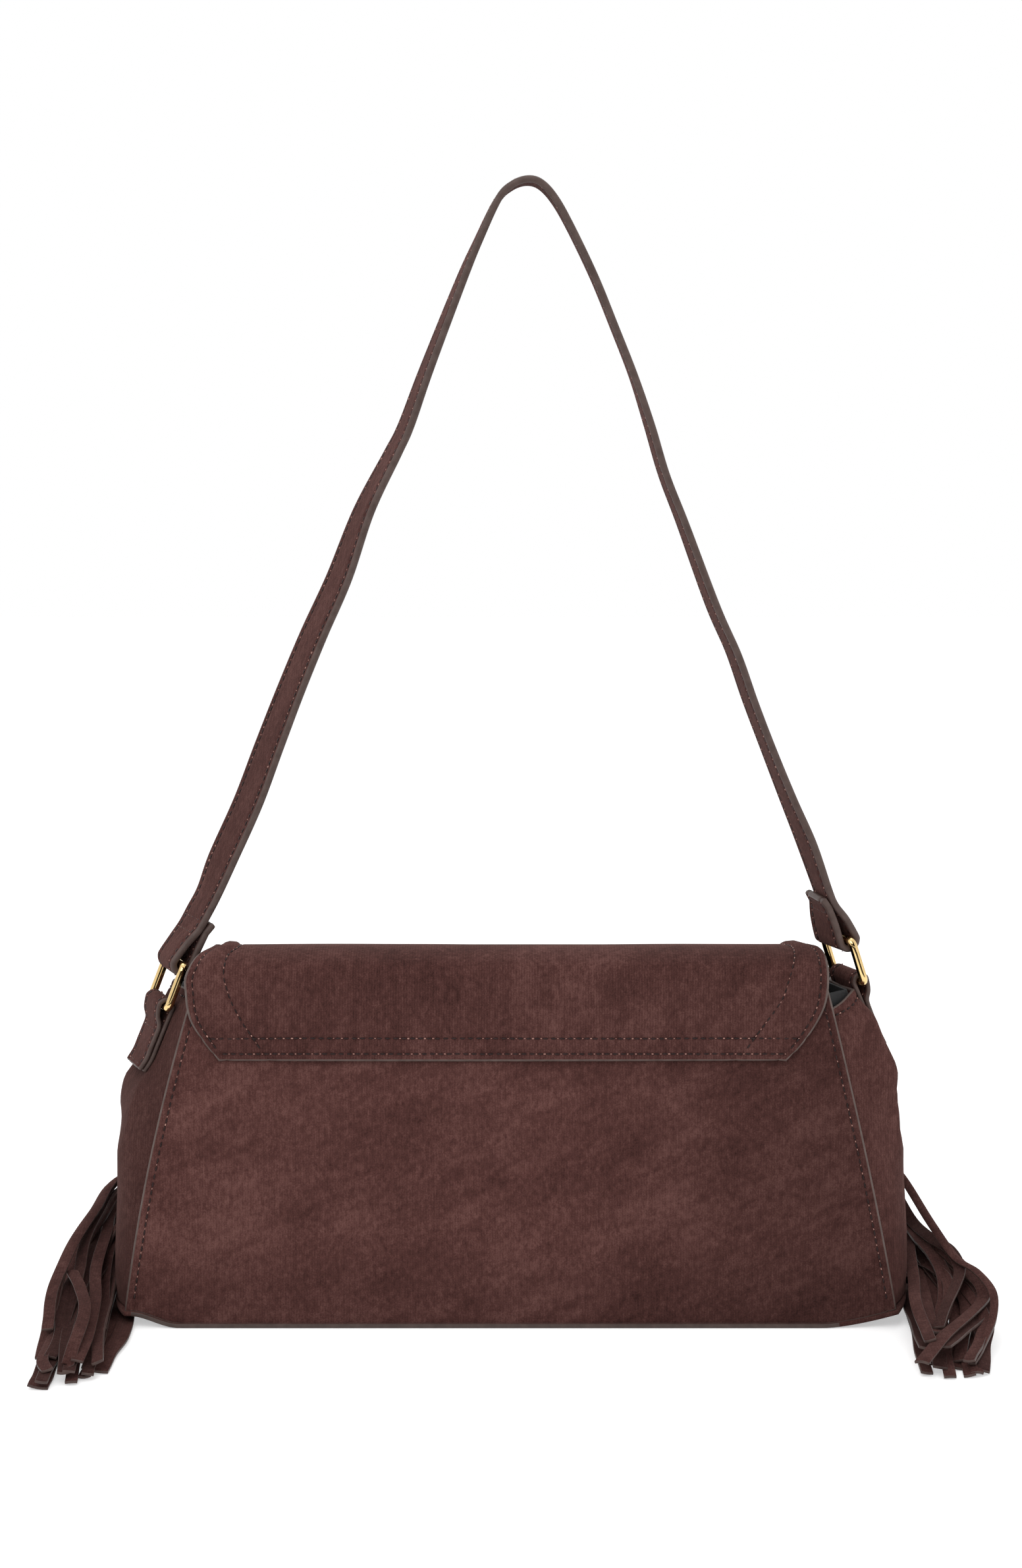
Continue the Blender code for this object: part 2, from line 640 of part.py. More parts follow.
def strap():
    """One strip: folded end, loop on the left ring, over the shoulder, loop and folded end on the right."""
    left = strap_loop("left")[::-1]
    right = strap_loop("right")
    yaw = math.degrees(RING_YAW)
    route = [(*p, yaw) for p in left]
    y_left, y_right = left[-1].y, right[0].y
    for x, height, turn in STRAP_ROUTE:
        share = (x - STRAP_ROUTE[0][0]) / (STRAP_ROUTE[-1][0] - STRAP_ROUTE[0][0])
        z = STRAP_FOOT + (STRAP_TOP - STRAP_FOOT) * height
        route.append((x * BODY_HALF_WIDTH, y_left + (y_right - y_left) * share, z, turn))
    route += [(*p, yaw) for p in right]
    smooth = smooth_path(route, 2)
    centres = [Vector(p[:3]) for p in smooth]
    across = [Vector((-math.sin(math.radians(p[3])), math.cos(math.radians(p[3])), 0.0)) for p in smooth]
    bm = ribbon_solid(centres, across, STRAP_WIDTH, STRAP_THICKNESS)
    return to_object("shoulder_strap", bm, SUEDE, origin=upper_bar("left"))


def tab(hand):
    """Strip folded over the ring's lower bar, both layers sewn to the gusset's outer face."""
    low = lower_bar(hand)
    up, out, lean = seat_directions(hand)
    down = -up - AXIS * lean
    radius = RING_WIRE / 2 + GAP + TAB_THICKNESS / 2
    outer = -(radius - TAB_THICKNESS - GAP)
    points = [low + down * TAB_LENGTH + out * outer]
    points.append(low + down * (TAB_LENGTH * 0.65) + out * outer)
    points.append(low + down * TAB_SPREAD + out * outer)
    points.append(low + down * (TAB_SPREAD * 0.55) + out * (radius * 0.5))
    for k in range(7):
        angle = math.radians(-6 + 186 * k / 6)
        points.append(low + out * (radius * math.cos(angle)) + up * (radius * math.sin(angle)))
    points.append(low + down * (TAB_LENGTH * 0.35) - out * radius)
    points.append(low + down * (TAB_LENGTH * 0.65) - out * radius)
    points.append(low + down * TAB_LENGTH - out * radius)
    centres = [Vector(p) for p in smooth_path(points, 2)]
    bm = ribbon_solid(centres, [AXIS] * len(centres), TAB_WIDTH, TAB_THICKNESS)
    return to_object(f"tab_{hand}", bm, SUEDE)


def tassel_frame(hand):
    side = SIDES[hand]
    top = Vector((side * (BODY_HALF_WIDTH - HEAD_INSET), BODY_HALF_DEPTH + HEAD_STANDOFF, HEAD_HEIGHT))
    axis = Vector((side * HEAD_AXIS[0], HEAD_AXIS[1], HEAD_AXIS[2])).normalized()
    return side, top, axis


def cylinder_between(start, axis, length, radius, sides=14):
    bm = bmesh.new()
    bmesh.ops.create_cone(bm, cap_ends=True, segments=sides, radius1=radius, radius2=radius, depth=length)
    turn = UP.rotation_difference(axis).to_matrix().to_4x4()
    bmesh.ops.transform(bm, matrix=Matrix.Translation(start + axis * (length / 2)) @ turn, verts=bm.verts)
    return bm


def bundle_frames(hand, steps=4):
    """Points down the middle of the bundle with the lanes' and layers' directions at each."""
    side, top, axis = tassel_frame(hand)
    points = [top + axis * (HEAD_LENGTH * 0.75), top + axis * (HEAD_LENGTH + 0.004)]
    for out, y, z in BUNDLE[hand]:
        x = side * (BODY_HALF_WIDTH + out * TASSEL_REACH)
        points.append(Vector((x, y * TASSEL_REACH, z * TASSEL_REACH)))
    middle = [Vector(p) for p in smooth_path(points, steps)]
    frames = []
    for i, point in enumerate(middle):
        along = (middle[min(i + 1, len(middle) - 1)] - middle[max(i - 1, 0)]).normalized()
        lanes = along.cross(UP).normalized()
        frames.append((point, lanes, lanes.cross(along)))
    return frames


def strip_solid(frames, lane, layer, cut):
    last = round(cut * (len(frames) - 1))
    centres, across = [], []
    for i, (point, lanes, layers) in enumerate(frames[:last + 1]):
        share = smoothstep(0.12, FAN_END, i / (len(frames) - 1))
        pitch = HEAD_LANE_PITCH + (LANE_PITCH - HEAD_LANE_PITCH) * share
        rise = HEAD_LAYER_PITCH + (LAYER_PITCH - HEAD_LAYER_PITCH) * share
        roll = HEAD_ROLL * (1.0 - share)
        centres.append(point + lanes * (lane * pitch) + layers * (layer * rise))
        across.append(lanes * math.cos(roll) + layers * math.sin(roll))
    return ribbon_solid(centres, across, STRIP_WIDTH, STRIP_THICKNESS)


def tassel(hand):
    """Rolled head and cut strips, joined into one piece of suede."""
    _, top, axis = tassel_frame(hand)
    frames = bundle_frames(hand)
    whole = to_object(f"tassel_{hand}", cylinder_between(top, axis, HEAD_LENGTH, HEAD_RADIUS), SUEDE)
    for row, cuts in enumerate(STRIP_CUTS[hand]):
        for column, cut in enumerate(cuts):
            lane = column - (LANES - 1) / 2
            layer = row - (LAYERS - 1) / 2
            strip = to_object(f"strip_{hand}_{row}_{column}", strip_solid(frames, lane, layer, cut), SUEDE)
            strip.hide_render = True
            strip.display_type = "WIRE"
            join = whole.modifiers.new(f"strip_{row}_{column}", "BOOLEAN")
            join.operation = "UNION"
            join.solver = "EXACT"
            join.object = strip
    return whole


def tassel_band(hand):
    """Thin band wrapped round the head."""
    _, top, axis = tassel_frame(hand)
    across = axis.cross(Vector((0, 1, 0))).normalized()
    other = axis.cross(across)
    inner = HEAD_RADIUS + GAP
    sides = 20
    bm = bmesh.new()
    loops = []
    for radius, along in (
        (inner, BAND_START), (inner + BAND_THICKNESS, BAND_START),
        (inner + BAND_THICKNESS, BAND_START + BAND_LENGTH), (inner, BAND_START + BAND_LENGTH),
    ):
        loops.append([
            bm.verts.new(top + axis * along + across * (radius * math.cos(a)) + other * (radius * math.sin(a)))
            for a in (2 * math.pi * k / sides for k in range(sides))])
    for i in range(4):
        near, far = loops[i], loops[(i + 1) % 4]
        for k in range(sides):
            m = (k + 1) % sides
            bm.faces.new((near[k], near[m], far[m], far[k]))
    return to_object(f"tassel_band_{hand}", bm, SUEDE)


def tassel_hanger(hand):
    """Strip sewn to the front panel that carries the tassel's head."""
    side, top, axis = tassel_frame(hand)
    lie = GAP + STRIP_THICKNESS / 2
    x = top.x
    end = top - axis * (GAP + STRIP_THICKNESS / 2)
    sewn, loose, hanging = (end.z + (HANGER_TOP - end.z) * share for share in (0.74, 0.48, 0.28))
    points = [
        Vector((x, half_depth(HANGER_TOP) + lie, HANGER_TOP)),
        Vector((x, half_depth(sewn) + lie, sewn)),
        Vector((x, half_depth(loose) + lie, loose)),
        Vector((x, half_depth(hanging) + lie + STRIP_THICKNESS, hanging)),
        Vector((x, end.y - 0.0075, end.z + 0.0035)),
        Vector((x, end.y - 0.0030, end.z + 0.0004)),
        Vector((x, end.y + 0.0030, end.z + 0.0001)),
    ]
    centres = [Vector(p) for p in smooth_path(points, 2)]
    level = Vector((axis.z, 0.0, -axis.x)).normalized() * -side
    straight = Vector((side, 0.0, 0.0))
    across = []
    for i in range(len(centres)):
        share = smoothstep(0.45, 0.95, i / (len(centres) - 1))
        across.append((straight * (1.0 - share) + level * share).normalized())
    bm = ribbon_solid(centres, across, HANGER_WIDTH, STRIP_THICKNESS)
    return to_object(f"tassel_hanger_{hand}", bm, SUEDE)


def main():
    clear_scene()
    panel("back_panel", -1.0, back_half_width, BACK_PANEL_TOP, 18, 9)
    panel("front_panel", 1.0, front_half_width, FRONT_PANEL_TOP, 18, 9)
    base_panel()
    base_board()
    lining()
    flap()
    snap()
    for hand, side in SIDES.items():
        gusset(f"gusset_{hand}", side)
        tab(hand)
        ring(hand)
        tassel_hanger(hand)
        tassel_band(hand)
        tassel(hand)
    strap()


main()
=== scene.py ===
import math

import bmesh
import bpy
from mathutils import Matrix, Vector, noise


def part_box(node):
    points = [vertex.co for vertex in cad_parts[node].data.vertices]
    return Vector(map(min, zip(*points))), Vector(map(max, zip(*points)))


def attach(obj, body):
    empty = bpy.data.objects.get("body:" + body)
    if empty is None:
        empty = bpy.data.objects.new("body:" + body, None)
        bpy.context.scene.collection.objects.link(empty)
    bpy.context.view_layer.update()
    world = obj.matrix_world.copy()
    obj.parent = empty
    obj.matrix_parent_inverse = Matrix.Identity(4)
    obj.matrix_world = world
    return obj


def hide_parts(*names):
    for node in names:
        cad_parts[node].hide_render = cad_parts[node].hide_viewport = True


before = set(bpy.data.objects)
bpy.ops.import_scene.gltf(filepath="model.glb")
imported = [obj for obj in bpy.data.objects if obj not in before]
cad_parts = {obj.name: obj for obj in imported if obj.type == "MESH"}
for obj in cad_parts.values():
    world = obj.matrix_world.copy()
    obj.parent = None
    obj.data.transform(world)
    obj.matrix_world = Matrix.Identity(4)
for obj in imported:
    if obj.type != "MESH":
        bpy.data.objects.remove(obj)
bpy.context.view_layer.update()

UP = Vector((0.0, 0.0, 1.0))

# Sizes shared with the solids
HALF_DEPTH = 0.0335
MOUTH_TAPER = 0.0075
TAPER_HEIGHT = 0.150
PANEL = 0.0018
GUSSET = 0.0015
BASE = 0.0018
GAP = 0.0003
RING_YAW = math.radians(20.0)
AXIS = Vector((-math.sin(RING_YAW), math.cos(RING_YAW), 0.0))
PLANE = Vector((math.cos(RING_YAW), math.sin(RING_YAW), 0.0))

# Thread
PITCH = 0.0034
STITCH = 0.0024
THREAD = 0.00034
THREAD_SWAY = 0.00010
GLINT_FROM = -0.12
GROOVE = 0.00055
GROOVE_REACH = 0.0014


# Curves and tables

def catmull(points):
    """A smooth curve through points of any dimension, read at 0 to 1."""
    data = [tuple(p) for p in points]
    first = tuple(2 * a - b for a, b in zip(data[0], data[1]))
    last = tuple(2 * a - b for a, b in zip(data[-1], data[-2]))
    data = [first] + data + [last]
    spans = len(data) - 3

    def read(t):
        x = min(max(t, 0.0), 1.0) * spans
        i = min(int(x), spans - 1)
        f = x - i
        return tuple(
            0.5 * (2 * b + (c - a) * f + (2 * a - 5 * b + 4 * c - d) * f * f
                   + (3 * b - a - 3 * c + d) * f ** 3)
            for a, b, c, d in zip(*data[i:i + 4]))
    return read


def table(rows, at):
    """Straight-line reading of (place, value) rows."""
    if at <= rows[0][0]:
        return rows[0][1]
    for (x0, y0), (x1, y1) in zip(rows, rows[1:]):
        if at <= x1:
            return y0 + (y1 - y0) * (at - x0) / (x1 - x0)
    return rows[-1][1]


def smooth(low, high, value):
    t = min(1.0, max(0.0, (value - low) / (high - low)))
    return t * t * (3.0 - 2.0 * t)


def spread(low, high, count):
    return [low + (high - low) * k / count for k in range(count + 1)]


def wave(x, y, z, size, seed=0.0):
    return noise.noise(Vector((x / size + seed, y / size - seed, z / size + 2 * seed)))


def half_depth(z):
    return HALF_DEPTH - MOUTH_TAPER * (z / TAPER_HEIGHT) ** 2


# Materials

def nodes_of(name):
    made = bpy.data.materials.new(name)
    made.use_nodes = True
    tree = made.node_tree
    return made, tree, tree.nodes["Principled BSDF"]


def connect(tree, node, inputs):
    """Each input takes a value, or a link from another node's output."""
    for key, value in inputs.items():
        if isinstance(value, bpy.types.NodeSocket):
            tree.links.new(value, node.inputs[key])
        else:
            node.inputs[key].default_value = value


def add_node(tree, kind, inputs, **settings):
    node = tree.nodes.new("ShaderNode" + kind)
    for name, value in settings.items():
        setattr(node, name, value)
    connect(tree, node, inputs)
    return node


def object_coords(tree):
    return add_node(tree, "TexCoord", {}).outputs["Object"]


def mix_colour(tree, fac, a, b, blend="MIX"):
    a, b = (v if isinstance(v, bpy.types.NodeSocket) else (*v, 1.0) for v in (a, b))
    return add_node(tree, "Mix", {0: fac, 6: a, 7: b}, data_type="RGBA", blend_type=blend).outputs[2]


def ramp(tree, source, low, high, first=0.0, last=1.0):
    return add_node(tree, "MapRange", {0: source, 1: low, 2: high, 3: first, 4: last}).outputs[0]


def noise_at(tree, coords, scale, detail=3.0, stretch=(1.0, 1.0, 1.0), turn=0.0, distortion=0.0):
    """Noise whose features are stretched along axes turned about Y."""
    placing = {"Vector": coords, "Scale": stretch, "Rotation": (0.0, turn, 0.0)}
    mapping = add_node(tree, "Mapping", placing, vector_type="TEXTURE")
    inputs = {"Vector": mapping.outputs[0], "Scale": scale, "Detail": detail, "Distortion": distortion}
    return add_node(tree, "TexNoise", inputs).outputs["Fac"]


def waves_at(tree, coords, axis, pitch, distortion=0.4):
    """Even ribs across an axis, a pitch apart."""
    inputs = {"Vector": coords, "Scale": 2 * math.pi / (20.0 * pitch), "Distortion": distortion}
    return add_node(tree, "TexWave", inputs, bands_direction=axis).outputs["Fac"]


def weighted(tree, parts):
    """Sum of sources about one half, each with its own weight."""
    total = 0.5 - sum(w for _, w in parts) / 2
    for source, weight in parts:
        total = add_node(tree, "Math", {0: source, 1: weight, 2: total}, operation="MULTIPLY_ADD").outputs[0]
    return total


def shades(tree, source, colours):
    """Colours from dark to light, evenly spaced over 0 to 1."""
    node = add_node(tree, "ValToRGB", {0: source})
    marks = node.color_ramp.elements
    while len(marks) < len(colours):
        marks.new(0.5)
    for k, colour in enumerate(colours):
        marks[k].position = k / (len(colours) - 1)
        marks[k].color = (*colour, 1.0)
    return node.outputs[0]


def bump_from(tree, height, strength, distance, below=None):
    inputs = {"Height": height, "Strength": strength, "Distance": distance}
    if below:
        inputs["Normal"] = below
    return add_node(tree, "Bump", inputs).outputs[0]


def suede(name, tone, turn, clouds=0.30, strokes=0.22, ribs=0.10, painted_shade=()):
    """Short nap: soft clouds, brushed strokes, mottle, fibres, fine grain and a faint knit, with a sheen.

    painted_shade lists painted shade, each darkening the colour one way: axis, two places along it and the tone
    at each.
    """
    made, tree, shader = nodes_of(name)
    coords = object_coords(tree)
    cloud = ramp(tree, noise_at(tree, coords, 28.0, 3.0, (1.5, 1.0, 1.0), turn, 0.6), 0.30, 0.70)
    stroke = ramp(tree, noise_at(tree, coords, 160.0, 4.0, (3.5, 1.5, 1.0), turn, 0.5), 0.32, 0.68)
    mottle = ramp(tree, noise_at(tree, coords, 330.0, 3.0, (1.3, 1.0, 1.0), turn), 0.32, 0.68)
    fibre = ramp(tree, noise_at(tree, coords, 700.0, 4.0, (1.0, 1.0, 2.0)), 0.30, 0.70)
    grain = ramp(tree, noise_at(tree, coords, 1900.0), 0.30, 0.70)
    knit = waves_at(tree, coords, "X", KNIT_PITCH, 1.5)
    shade = weighted(tree, (
        (cloud, clouds), (stroke, strokes), (mottle, 0.20), (fibre, 0.34), (grain, 0.42), (knit, ribs)))
    colour = shades(tree, shade, [tuple(c * tone for c in colour) for colour in (DARK, MIDDLE, LIGHT)])
    # Painted shade: the colour is multiplied darker along each listed axis.
    for axis, *places in painted_shade:
        parts = add_node(tree, "SeparateXYZ", {0: coords})
        colour = mix_colour(tree, 1.0, colour, ramp(tree, parts.outputs[axis], *places), "MULTIPLY")
    nap = bump_from(tree, fibre, 0.40, FIBRE_HEIGHT)
    connect(tree, shader, {
        "Base Color": colour, "Roughness": 0.95, "Specular IOR Level": 0.12, "Sheen Weight": 0.10,
        "Sheen Roughness": 0.50, "Sheen Tint": (0.75, 0.42, 0.36, 1.0),
        "Normal": bump_from(tree, grain, 0.55, GRAIN_HEIGHT, nap)})
    return made


def flecked(name, colours, scale, detail, contrast, height, settings):
    """Two colours mixed by noise, which also raises the surface."""
    made, tree, shader = nodes_of(name)
    flecks = ramp(tree, noise_at(tree, object_coords(tree), scale, detail), *contrast)
    connect(tree, shader, {
        "Base Color": mix_colour(tree, flecks, *colours),
        "Normal": bump_from(tree, flecks, 0.3, height), **settings})
    return made


def paint(name, colour, worn):
    """Painted edge: smooth, slightly uneven and faintly glossy."""
    settings = {"Roughness": 0.50, "Specular IOR Level": 0.30}
    return flecked(name, (colour, worn), 260.0, 3.0, (0.3, 0.7), PAINT_HEIGHT, settings)


def metal(name, colour, roughness):
    made, tree, shader = nodes_of(name)
    uneven = noise_at(tree, object_coords(tree), 500.0)
    warm = tuple(c * 0.86 for c in colour)
    connect(tree, shader, {
        "Base Color": mix_colour(tree, ramp(tree, uneven, 0.3, 0.7), colour, warm), "Metallic": 1.0,
        "Roughness": roughness, "Normal": bump_from(tree, uneven, 0.01, PAINT_HEIGHT)})
    return made


def cloth(name, dark, light, pitch):
    """Plain woven lining: fine warp and weft."""
    made, tree, shader = nodes_of(name)
    coords = object_coords(tree)
    warp, weft = (waves_at(tree, coords, axis, pitch) for axis in ("X", "Z"))
    weave = add_node(tree, "Math", {0: warp, 1: weft}, operation="MULTIPLY").outputs[0]
    connect(tree, shader, {
        "Base Color": mix_colour(tree, weave, dark, light), "Roughness": 0.72, "Sheen Weight": 0.15,
        "Normal": bump_from(tree, weave, 0.4, PAINT_HEIGHT)})
    return made


KNIT_PITCH = 0.0011
FIBRE_HEIGHT = 0.00015
GRAIN_HEIGHT = 0.00012
PAINT_HEIGHT = 0.0001
BOARD_HEIGHT = 0.0002
DARK = (0.0430, 0.0160, 0.0140)
MIDDLE = (0.0930, 0.0370, 0.0325)
LIGHT = (0.1700, 0.0780, 0.0680)
# Painted shade: the panels darker towards the right and at the bottom, the flap darker towards both sides.
PANEL_PAINTED_SHADE = (("X", 0.02, 0.13, 1.0, 0.72), ("Z", 0.0, 0.035, 0.84, 1.0))
FLAP_PAINTED_SHADE = (("X", 0.02, 0.13, 1.0, 0.90), ("X", -0.165, -0.12, 0.88, 1.0))
PANEL_SUEDE = suede("panel_suede", 0.92, -0.42, 0.36, painted_shade=PANEL_PAINTED_SHADE)
FLAP_SUEDE = suede("flap_suede", 0.82, -1.35, 0.40, 0.22, 0.16, FLAP_PAINTED_SHADE)
# Painted shade: the gussets are darker copies of the suede, the left one darker than the right.
SHADED_SIDE_SUEDE = {
    hand: suede("shaded_side_suede_" + hand, tone, -1.2, 0.26, 0.18, 0.14)
    for hand, tone in (("left", 0.60), ("right", 0.80))}
STRAP_SUEDE = suede("strap_suede", 0.72, -1.1, 0.24, 0.18)
STRIP_SUEDE = suede("strip_suede", 0.60, -1.3, 0.28, 0.20)
# Painted shade between the tassel's strips: a darker copy of the strip suede.
SHADED_STRIP_SUEDE = suede("shaded_strip_suede", 0.36, -1.3, 0.28, 0.20)
EDGE_PAINT = paint("edge_paint", (0.088, 0.060, 0.052), (0.128, 0.092, 0.081))
STRIP_PAINT = paint("strip_paint", (0.072, 0.046, 0.039), (0.104, 0.070, 0.061))
CUT_EDGE = paint("cut_edge", (0.052, 0.031, 0.027), (0.088, 0.055, 0.047))
BASE_PAINT = paint("base_paint", (0.060, 0.040, 0.034), (0.085, 0.058, 0.050))
THREAD_DARK = paint("thread_dark", (0.014, 0.0065, 0.0060), (0.030, 0.014, 0.013))
# Painted highlight: a bright thread colour for the glints at the needle holes.
THREAD_PAINTED_GLINT = paint("thread_painted_glint", (0.30, 0.15, 0.125), (0.52, 0.30, 0.25))
GOLD = metal("ring_gold", (0.86, 0.62, 0.29), 0.09)
SNAP_GOLD = metal("snap_gold", (0.90, 0.70, 0.38), 0.20)
LINING = cloth("lining_cloth", (0.006, 0.006, 0.007), (0.020, 0.020, 0.022), 0.0006)
BOARD_COLOURS = ((0.22, 0.20, 0.17), (0.30, 0.27, 0.23))
BOARD = flecked("board_stuff", BOARD_COLOURS, 900.0, 4.0, (0.4, 0.6), BOARD_HEIGHT, {"Roughness": 0.9})


# Mesh building

def plain_border(bm, hidden):
    """The border takes the face's material wherever hidden(middle of the face) holds."""
    for face in bm.faces:
        if face.material_index == 1 and hidden(face.calc_center_median()):
            face.material_index = 0
    return bm


def finish_mesh(name, bm, materials, body, node=None, sharp=40.0):
    """Makes the object, which rides on its body and stands in for its node's solid, if it has one."""
    bmesh.ops.recalc_face_normals(bm, faces=bm.faces)
    mesh = bpy.data.meshes.new(name)
    bm.to_mesh(mesh)
    bm.free()
    mesh.shade_smooth()
    if sharp:
        mesh.set_sharp_from_angle(angle=math.radians(sharp))
    for look in materials:
        mesh.materials.append(look)
    made = bpy.data.objects.new(name, mesh)
    bpy.context.collection.objects.link(made)
    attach(made, body)
    if node:
        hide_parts(node)
    return made


def grid_normals(rows):
    count_u, count_v = len(rows), len(rows[0])
    normals = []
    for i in range(count_u):
        line = []
        for j in range(count_v):
            along = rows[min(i + 1, count_u - 1)][j] - rows[max(i - 1, 0)][j]
            across = rows[i][min(j + 1, count_v - 1)] - rows[i][max(j - 1, 0)]
            line.append(along.cross(across).normalized())
        normals.append(line)
    return normals


BEAD_STEPS = (68.0, 42.0, 15.0, -15.0, -42.0, -68.0)


def sheet_mesh(rows, thickness, lift=None, dent=None, bead=0.9):
    """A sheet with a rounded border. rows run along u; lift and dent move the two faces out."""
    normals = grid_normals(rows)
    count_u, count_v = len(rows), len(rows[0])
    bm = bmesh.new()
    outer, inner = [], []
    for i in range(count_u):
        outer.append([])
        inner.append([])
        for j in range(count_v):
            p, n = rows[i][j], normals[i][j]
            up = lift(i, j) if lift else 0.0
            down = dent(i, j) if dent else 0.0
            outer[i].append(bm.verts.new(p + n * (thickness / 2 + up)))
            inner[i].append(bm.verts.new(p - n * (thickness / 2 - down)))
    for i in range(count_u - 1):
        for j in range(count_v - 1):
            bm.faces.new((outer[i][j], outer[i + 1][j], outer[i + 1][j + 1], outer[i][j + 1]))
            bm.faces.new((inner[i][j], inner[i][j + 1], inner[i + 1][j + 1], inner[i + 1][j]))
    border = [(i, 0) for i in range(count_u)]
    border += [(count_u - 1, j) for j in range(1, count_v)]
    border += [(i, count_v - 1) for i in range(count_u - 2, -1, -1)]
    border += [(0, j) for j in range(count_v - 2, 0, -1)]
    walls = []
    for i, j in border:
        out = Vector()
        for ends_here, last, before in (
                (i == 0, rows[0][j], rows[1][j]), (i == count_u - 1, rows[-1][j], rows[-2][j]),
                (j == 0, rows[i][0], rows[i][1]), (j == count_v - 1, rows[i][-1], rows[i][-2])):
            if ends_here:
                out += (last - before).normalized()
        out.normalize()
        top, low = outer[i][j].co, inner[i][j].co
        middle, half = (top + low) / 2, (top - low) / 2
        line = [outer[i][j]]
        for angle in BEAD_STEPS:
            a = math.radians(angle)
            shift = out * (half.length * math.cos(a) * bead)
            line.append(bm.verts.new(middle + half * math.sin(a) + shift))
        line.append(inner[i][j])
        walls.append(line)
    for here, there in zip(walls, walls[1:] + walls[:1]):
        for m in range(len(here) - 1):
            face = bm.faces.new((here[m], here[m + 1], there[m + 1], there[m]))
            face.material_index = 1
    return bm


def ring_of(bm, centre, first, second, radius, sides):
    """Corners of a circle in the plane of two directions; one corner where the radius is nothing."""
    if not radius:
        return [bm.verts.new(centre)]
    angles = (2 * math.pi * k / sides for k in range(sides))
    return [
        bm.verts.new(centre + first * (radius * math.cos(a)) + second * (radius * math.sin(a))) for a in angles]


def bridge(bm, near, far, index=0):
    """Faces between two rings, either of which may be a single corner."""
    count = max(len(near), len(far))
    for k in range(count):
        m = (k + 1) % count
        corners = (near[k % len(near)], near[m % len(near)], far[m % len(far)], far[k % len(far)])
        bm.faces.new(list(dict.fromkeys(corners))).material_index = index


def tube_mesh(path, radius, sides):
    """A closed tube along a closed path."""
    bm = bmesh.new()
    count = len(path)
    middle = sum(path, Vector()) / count
    loops = []
    for i in range(count):
        tangent = (path[(i + 1) % count] - path[i - 1]).normalized()
        outward = path[i] - middle
        outward = (outward - tangent * outward.dot(tangent)).normalized()
        loops.append(ring_of(bm, path[i], outward, tangent.cross(outward), radius, sides))
    for near, far in zip(loops, loops[1:] + loops[:1]):
        bridge(bm, near, far)
    return bm


# Stitching

def even_points(path, normals, pitch):
    """Places along a path every pitch: point, direction along it and normal."""
    lengths = [0.0]
    for a, b in zip(path, path[1:]):
        lengths.append(lengths[-1] + (b - a).length)
    count = max(1, int(lengths[-1] / pitch))
    found = []
    k = 0
    for step in range(count):
        at = lengths[-1] * (step + 0.5) / count
        while lengths[k + 1] < at:
            k += 1
        f = (at - lengths[k]) / (lengths[k + 1] - lengths[k])
        along = (path[k + 1] - path[k]).normalized()
        normal = normals[k].lerp(normals[k + 1], f).normalized()
        found.append((path[k].lerp(path[k + 1], f), along, normal))
    return found


STITCH_PROFILE = (
    (-1.0, 0.0), (-0.86, 0.55), (-0.45, 0.95), (0.0, 1.0), (0.45, 0.95), (0.86, 0.55), (1.0, 0.0))
STITCH_SIDES = 6


def add_stitch(bm, point, along, normal, length, radius, index=0):
    side = normal.cross(along).normalized()
    loops = []
    for t, share in STITCH_PROFILE:
        centre = point + along * (length / 2 * t) - normal * (radius * 0.9 * t * t)
        loops.append(ring_of(bm, centre, side, normal, radius * share, STITCH_SIDES))
    for near, far in zip(loops, loops[1:]):
        bridge(bm, near, far, index)


def add_row(bm, path, normals, seed=0.0):
    """A row of dark stitches; at some needle holes a bright bead of thread is a painted glint."""
    for k, (point, along, normal) in enumerate(even_points(path, normals, PITCH)):
        side = normal.cross(along)
        sway = THREAD_SWAY * wave(k, seed, 0.0, 1.7)
        add_stitch(bm, point + side * sway, along, normal, STITCH, THREAD)
        # Painted highlight: some needle holes get a bright bead as a glint.
        bright = wave(k * 7.3, seed, 3.0, 2.9)
        if bright > GLINT_FROM:
            hole = point + along * (PITCH / 2) + normal * (THREAD * 0.35)
            size = 0.75 + 0.9 * bright
            add_stitch(bm, hole, along, normal, THREAD * 2.6 * size, THREAD * 0.72 * size, 1)


def thread_height(thickness, sunk=0.75):
    """Height of the thread over a sheet's middle, sunk by that share of its groove."""
    return thickness / 2 - GROOVE * sunk + THREAD * 0.45


def surface_path(place, route, samples=160):
    """Points and normals on a surface along a route of (u, v) corners."""
    points, normals = [], []
    read = catmull(route)
    step = 0.002
    for t in spread(0.0, 1.0, samples):
        u, v = read(t)
        du = place(u + step, v) - place(u - step, v)
        dv = place(u, v + step) - place(u, v - step)
        points.append(place(u, v))
        normals.append(du.cross(dv).normalized())
    return points, normals


def add_facing_row(bm, place, route, facing, height, seed):
    """A row of stitches on a surface, on the side that faces that way, with the thread at that height."""
    points, normals = surface_path(place, route)
    normals = [n if n.dot(facing) > 0 else -n for n in normals]
    add_row(bm, [p + n * height for p, n in zip(points, normals)], normals, seed)


def thread_piece(name, bm, body):
    finish_mesh(name, bm, (THREAD_DARK, THREAD_PAINTED_GLINT), body, sharp=None)


# Back and front panels

BACK_TOP = 0.1470
FRONT_TOP = 0.1405
FRONT_CORNER = 0.0125
FRONT_CORNER_CUT = 0.0050
BODY_HALF_WIDTH = 0.1610
BACK_NARROWING = 0.183
BACK_CURVE = 0.25
FRONT_NARROWING = 0.130
RISE_POWER = 1.5
FLAT_HALF_LENGTH = 0.1300
CORNER_RISE = 0.0060
LEFT_RISE = 0.0052
LEFT_FLAT = 0.1380
LEFT_STEP = 0.1585
LEFT_SWELL = 0.0020
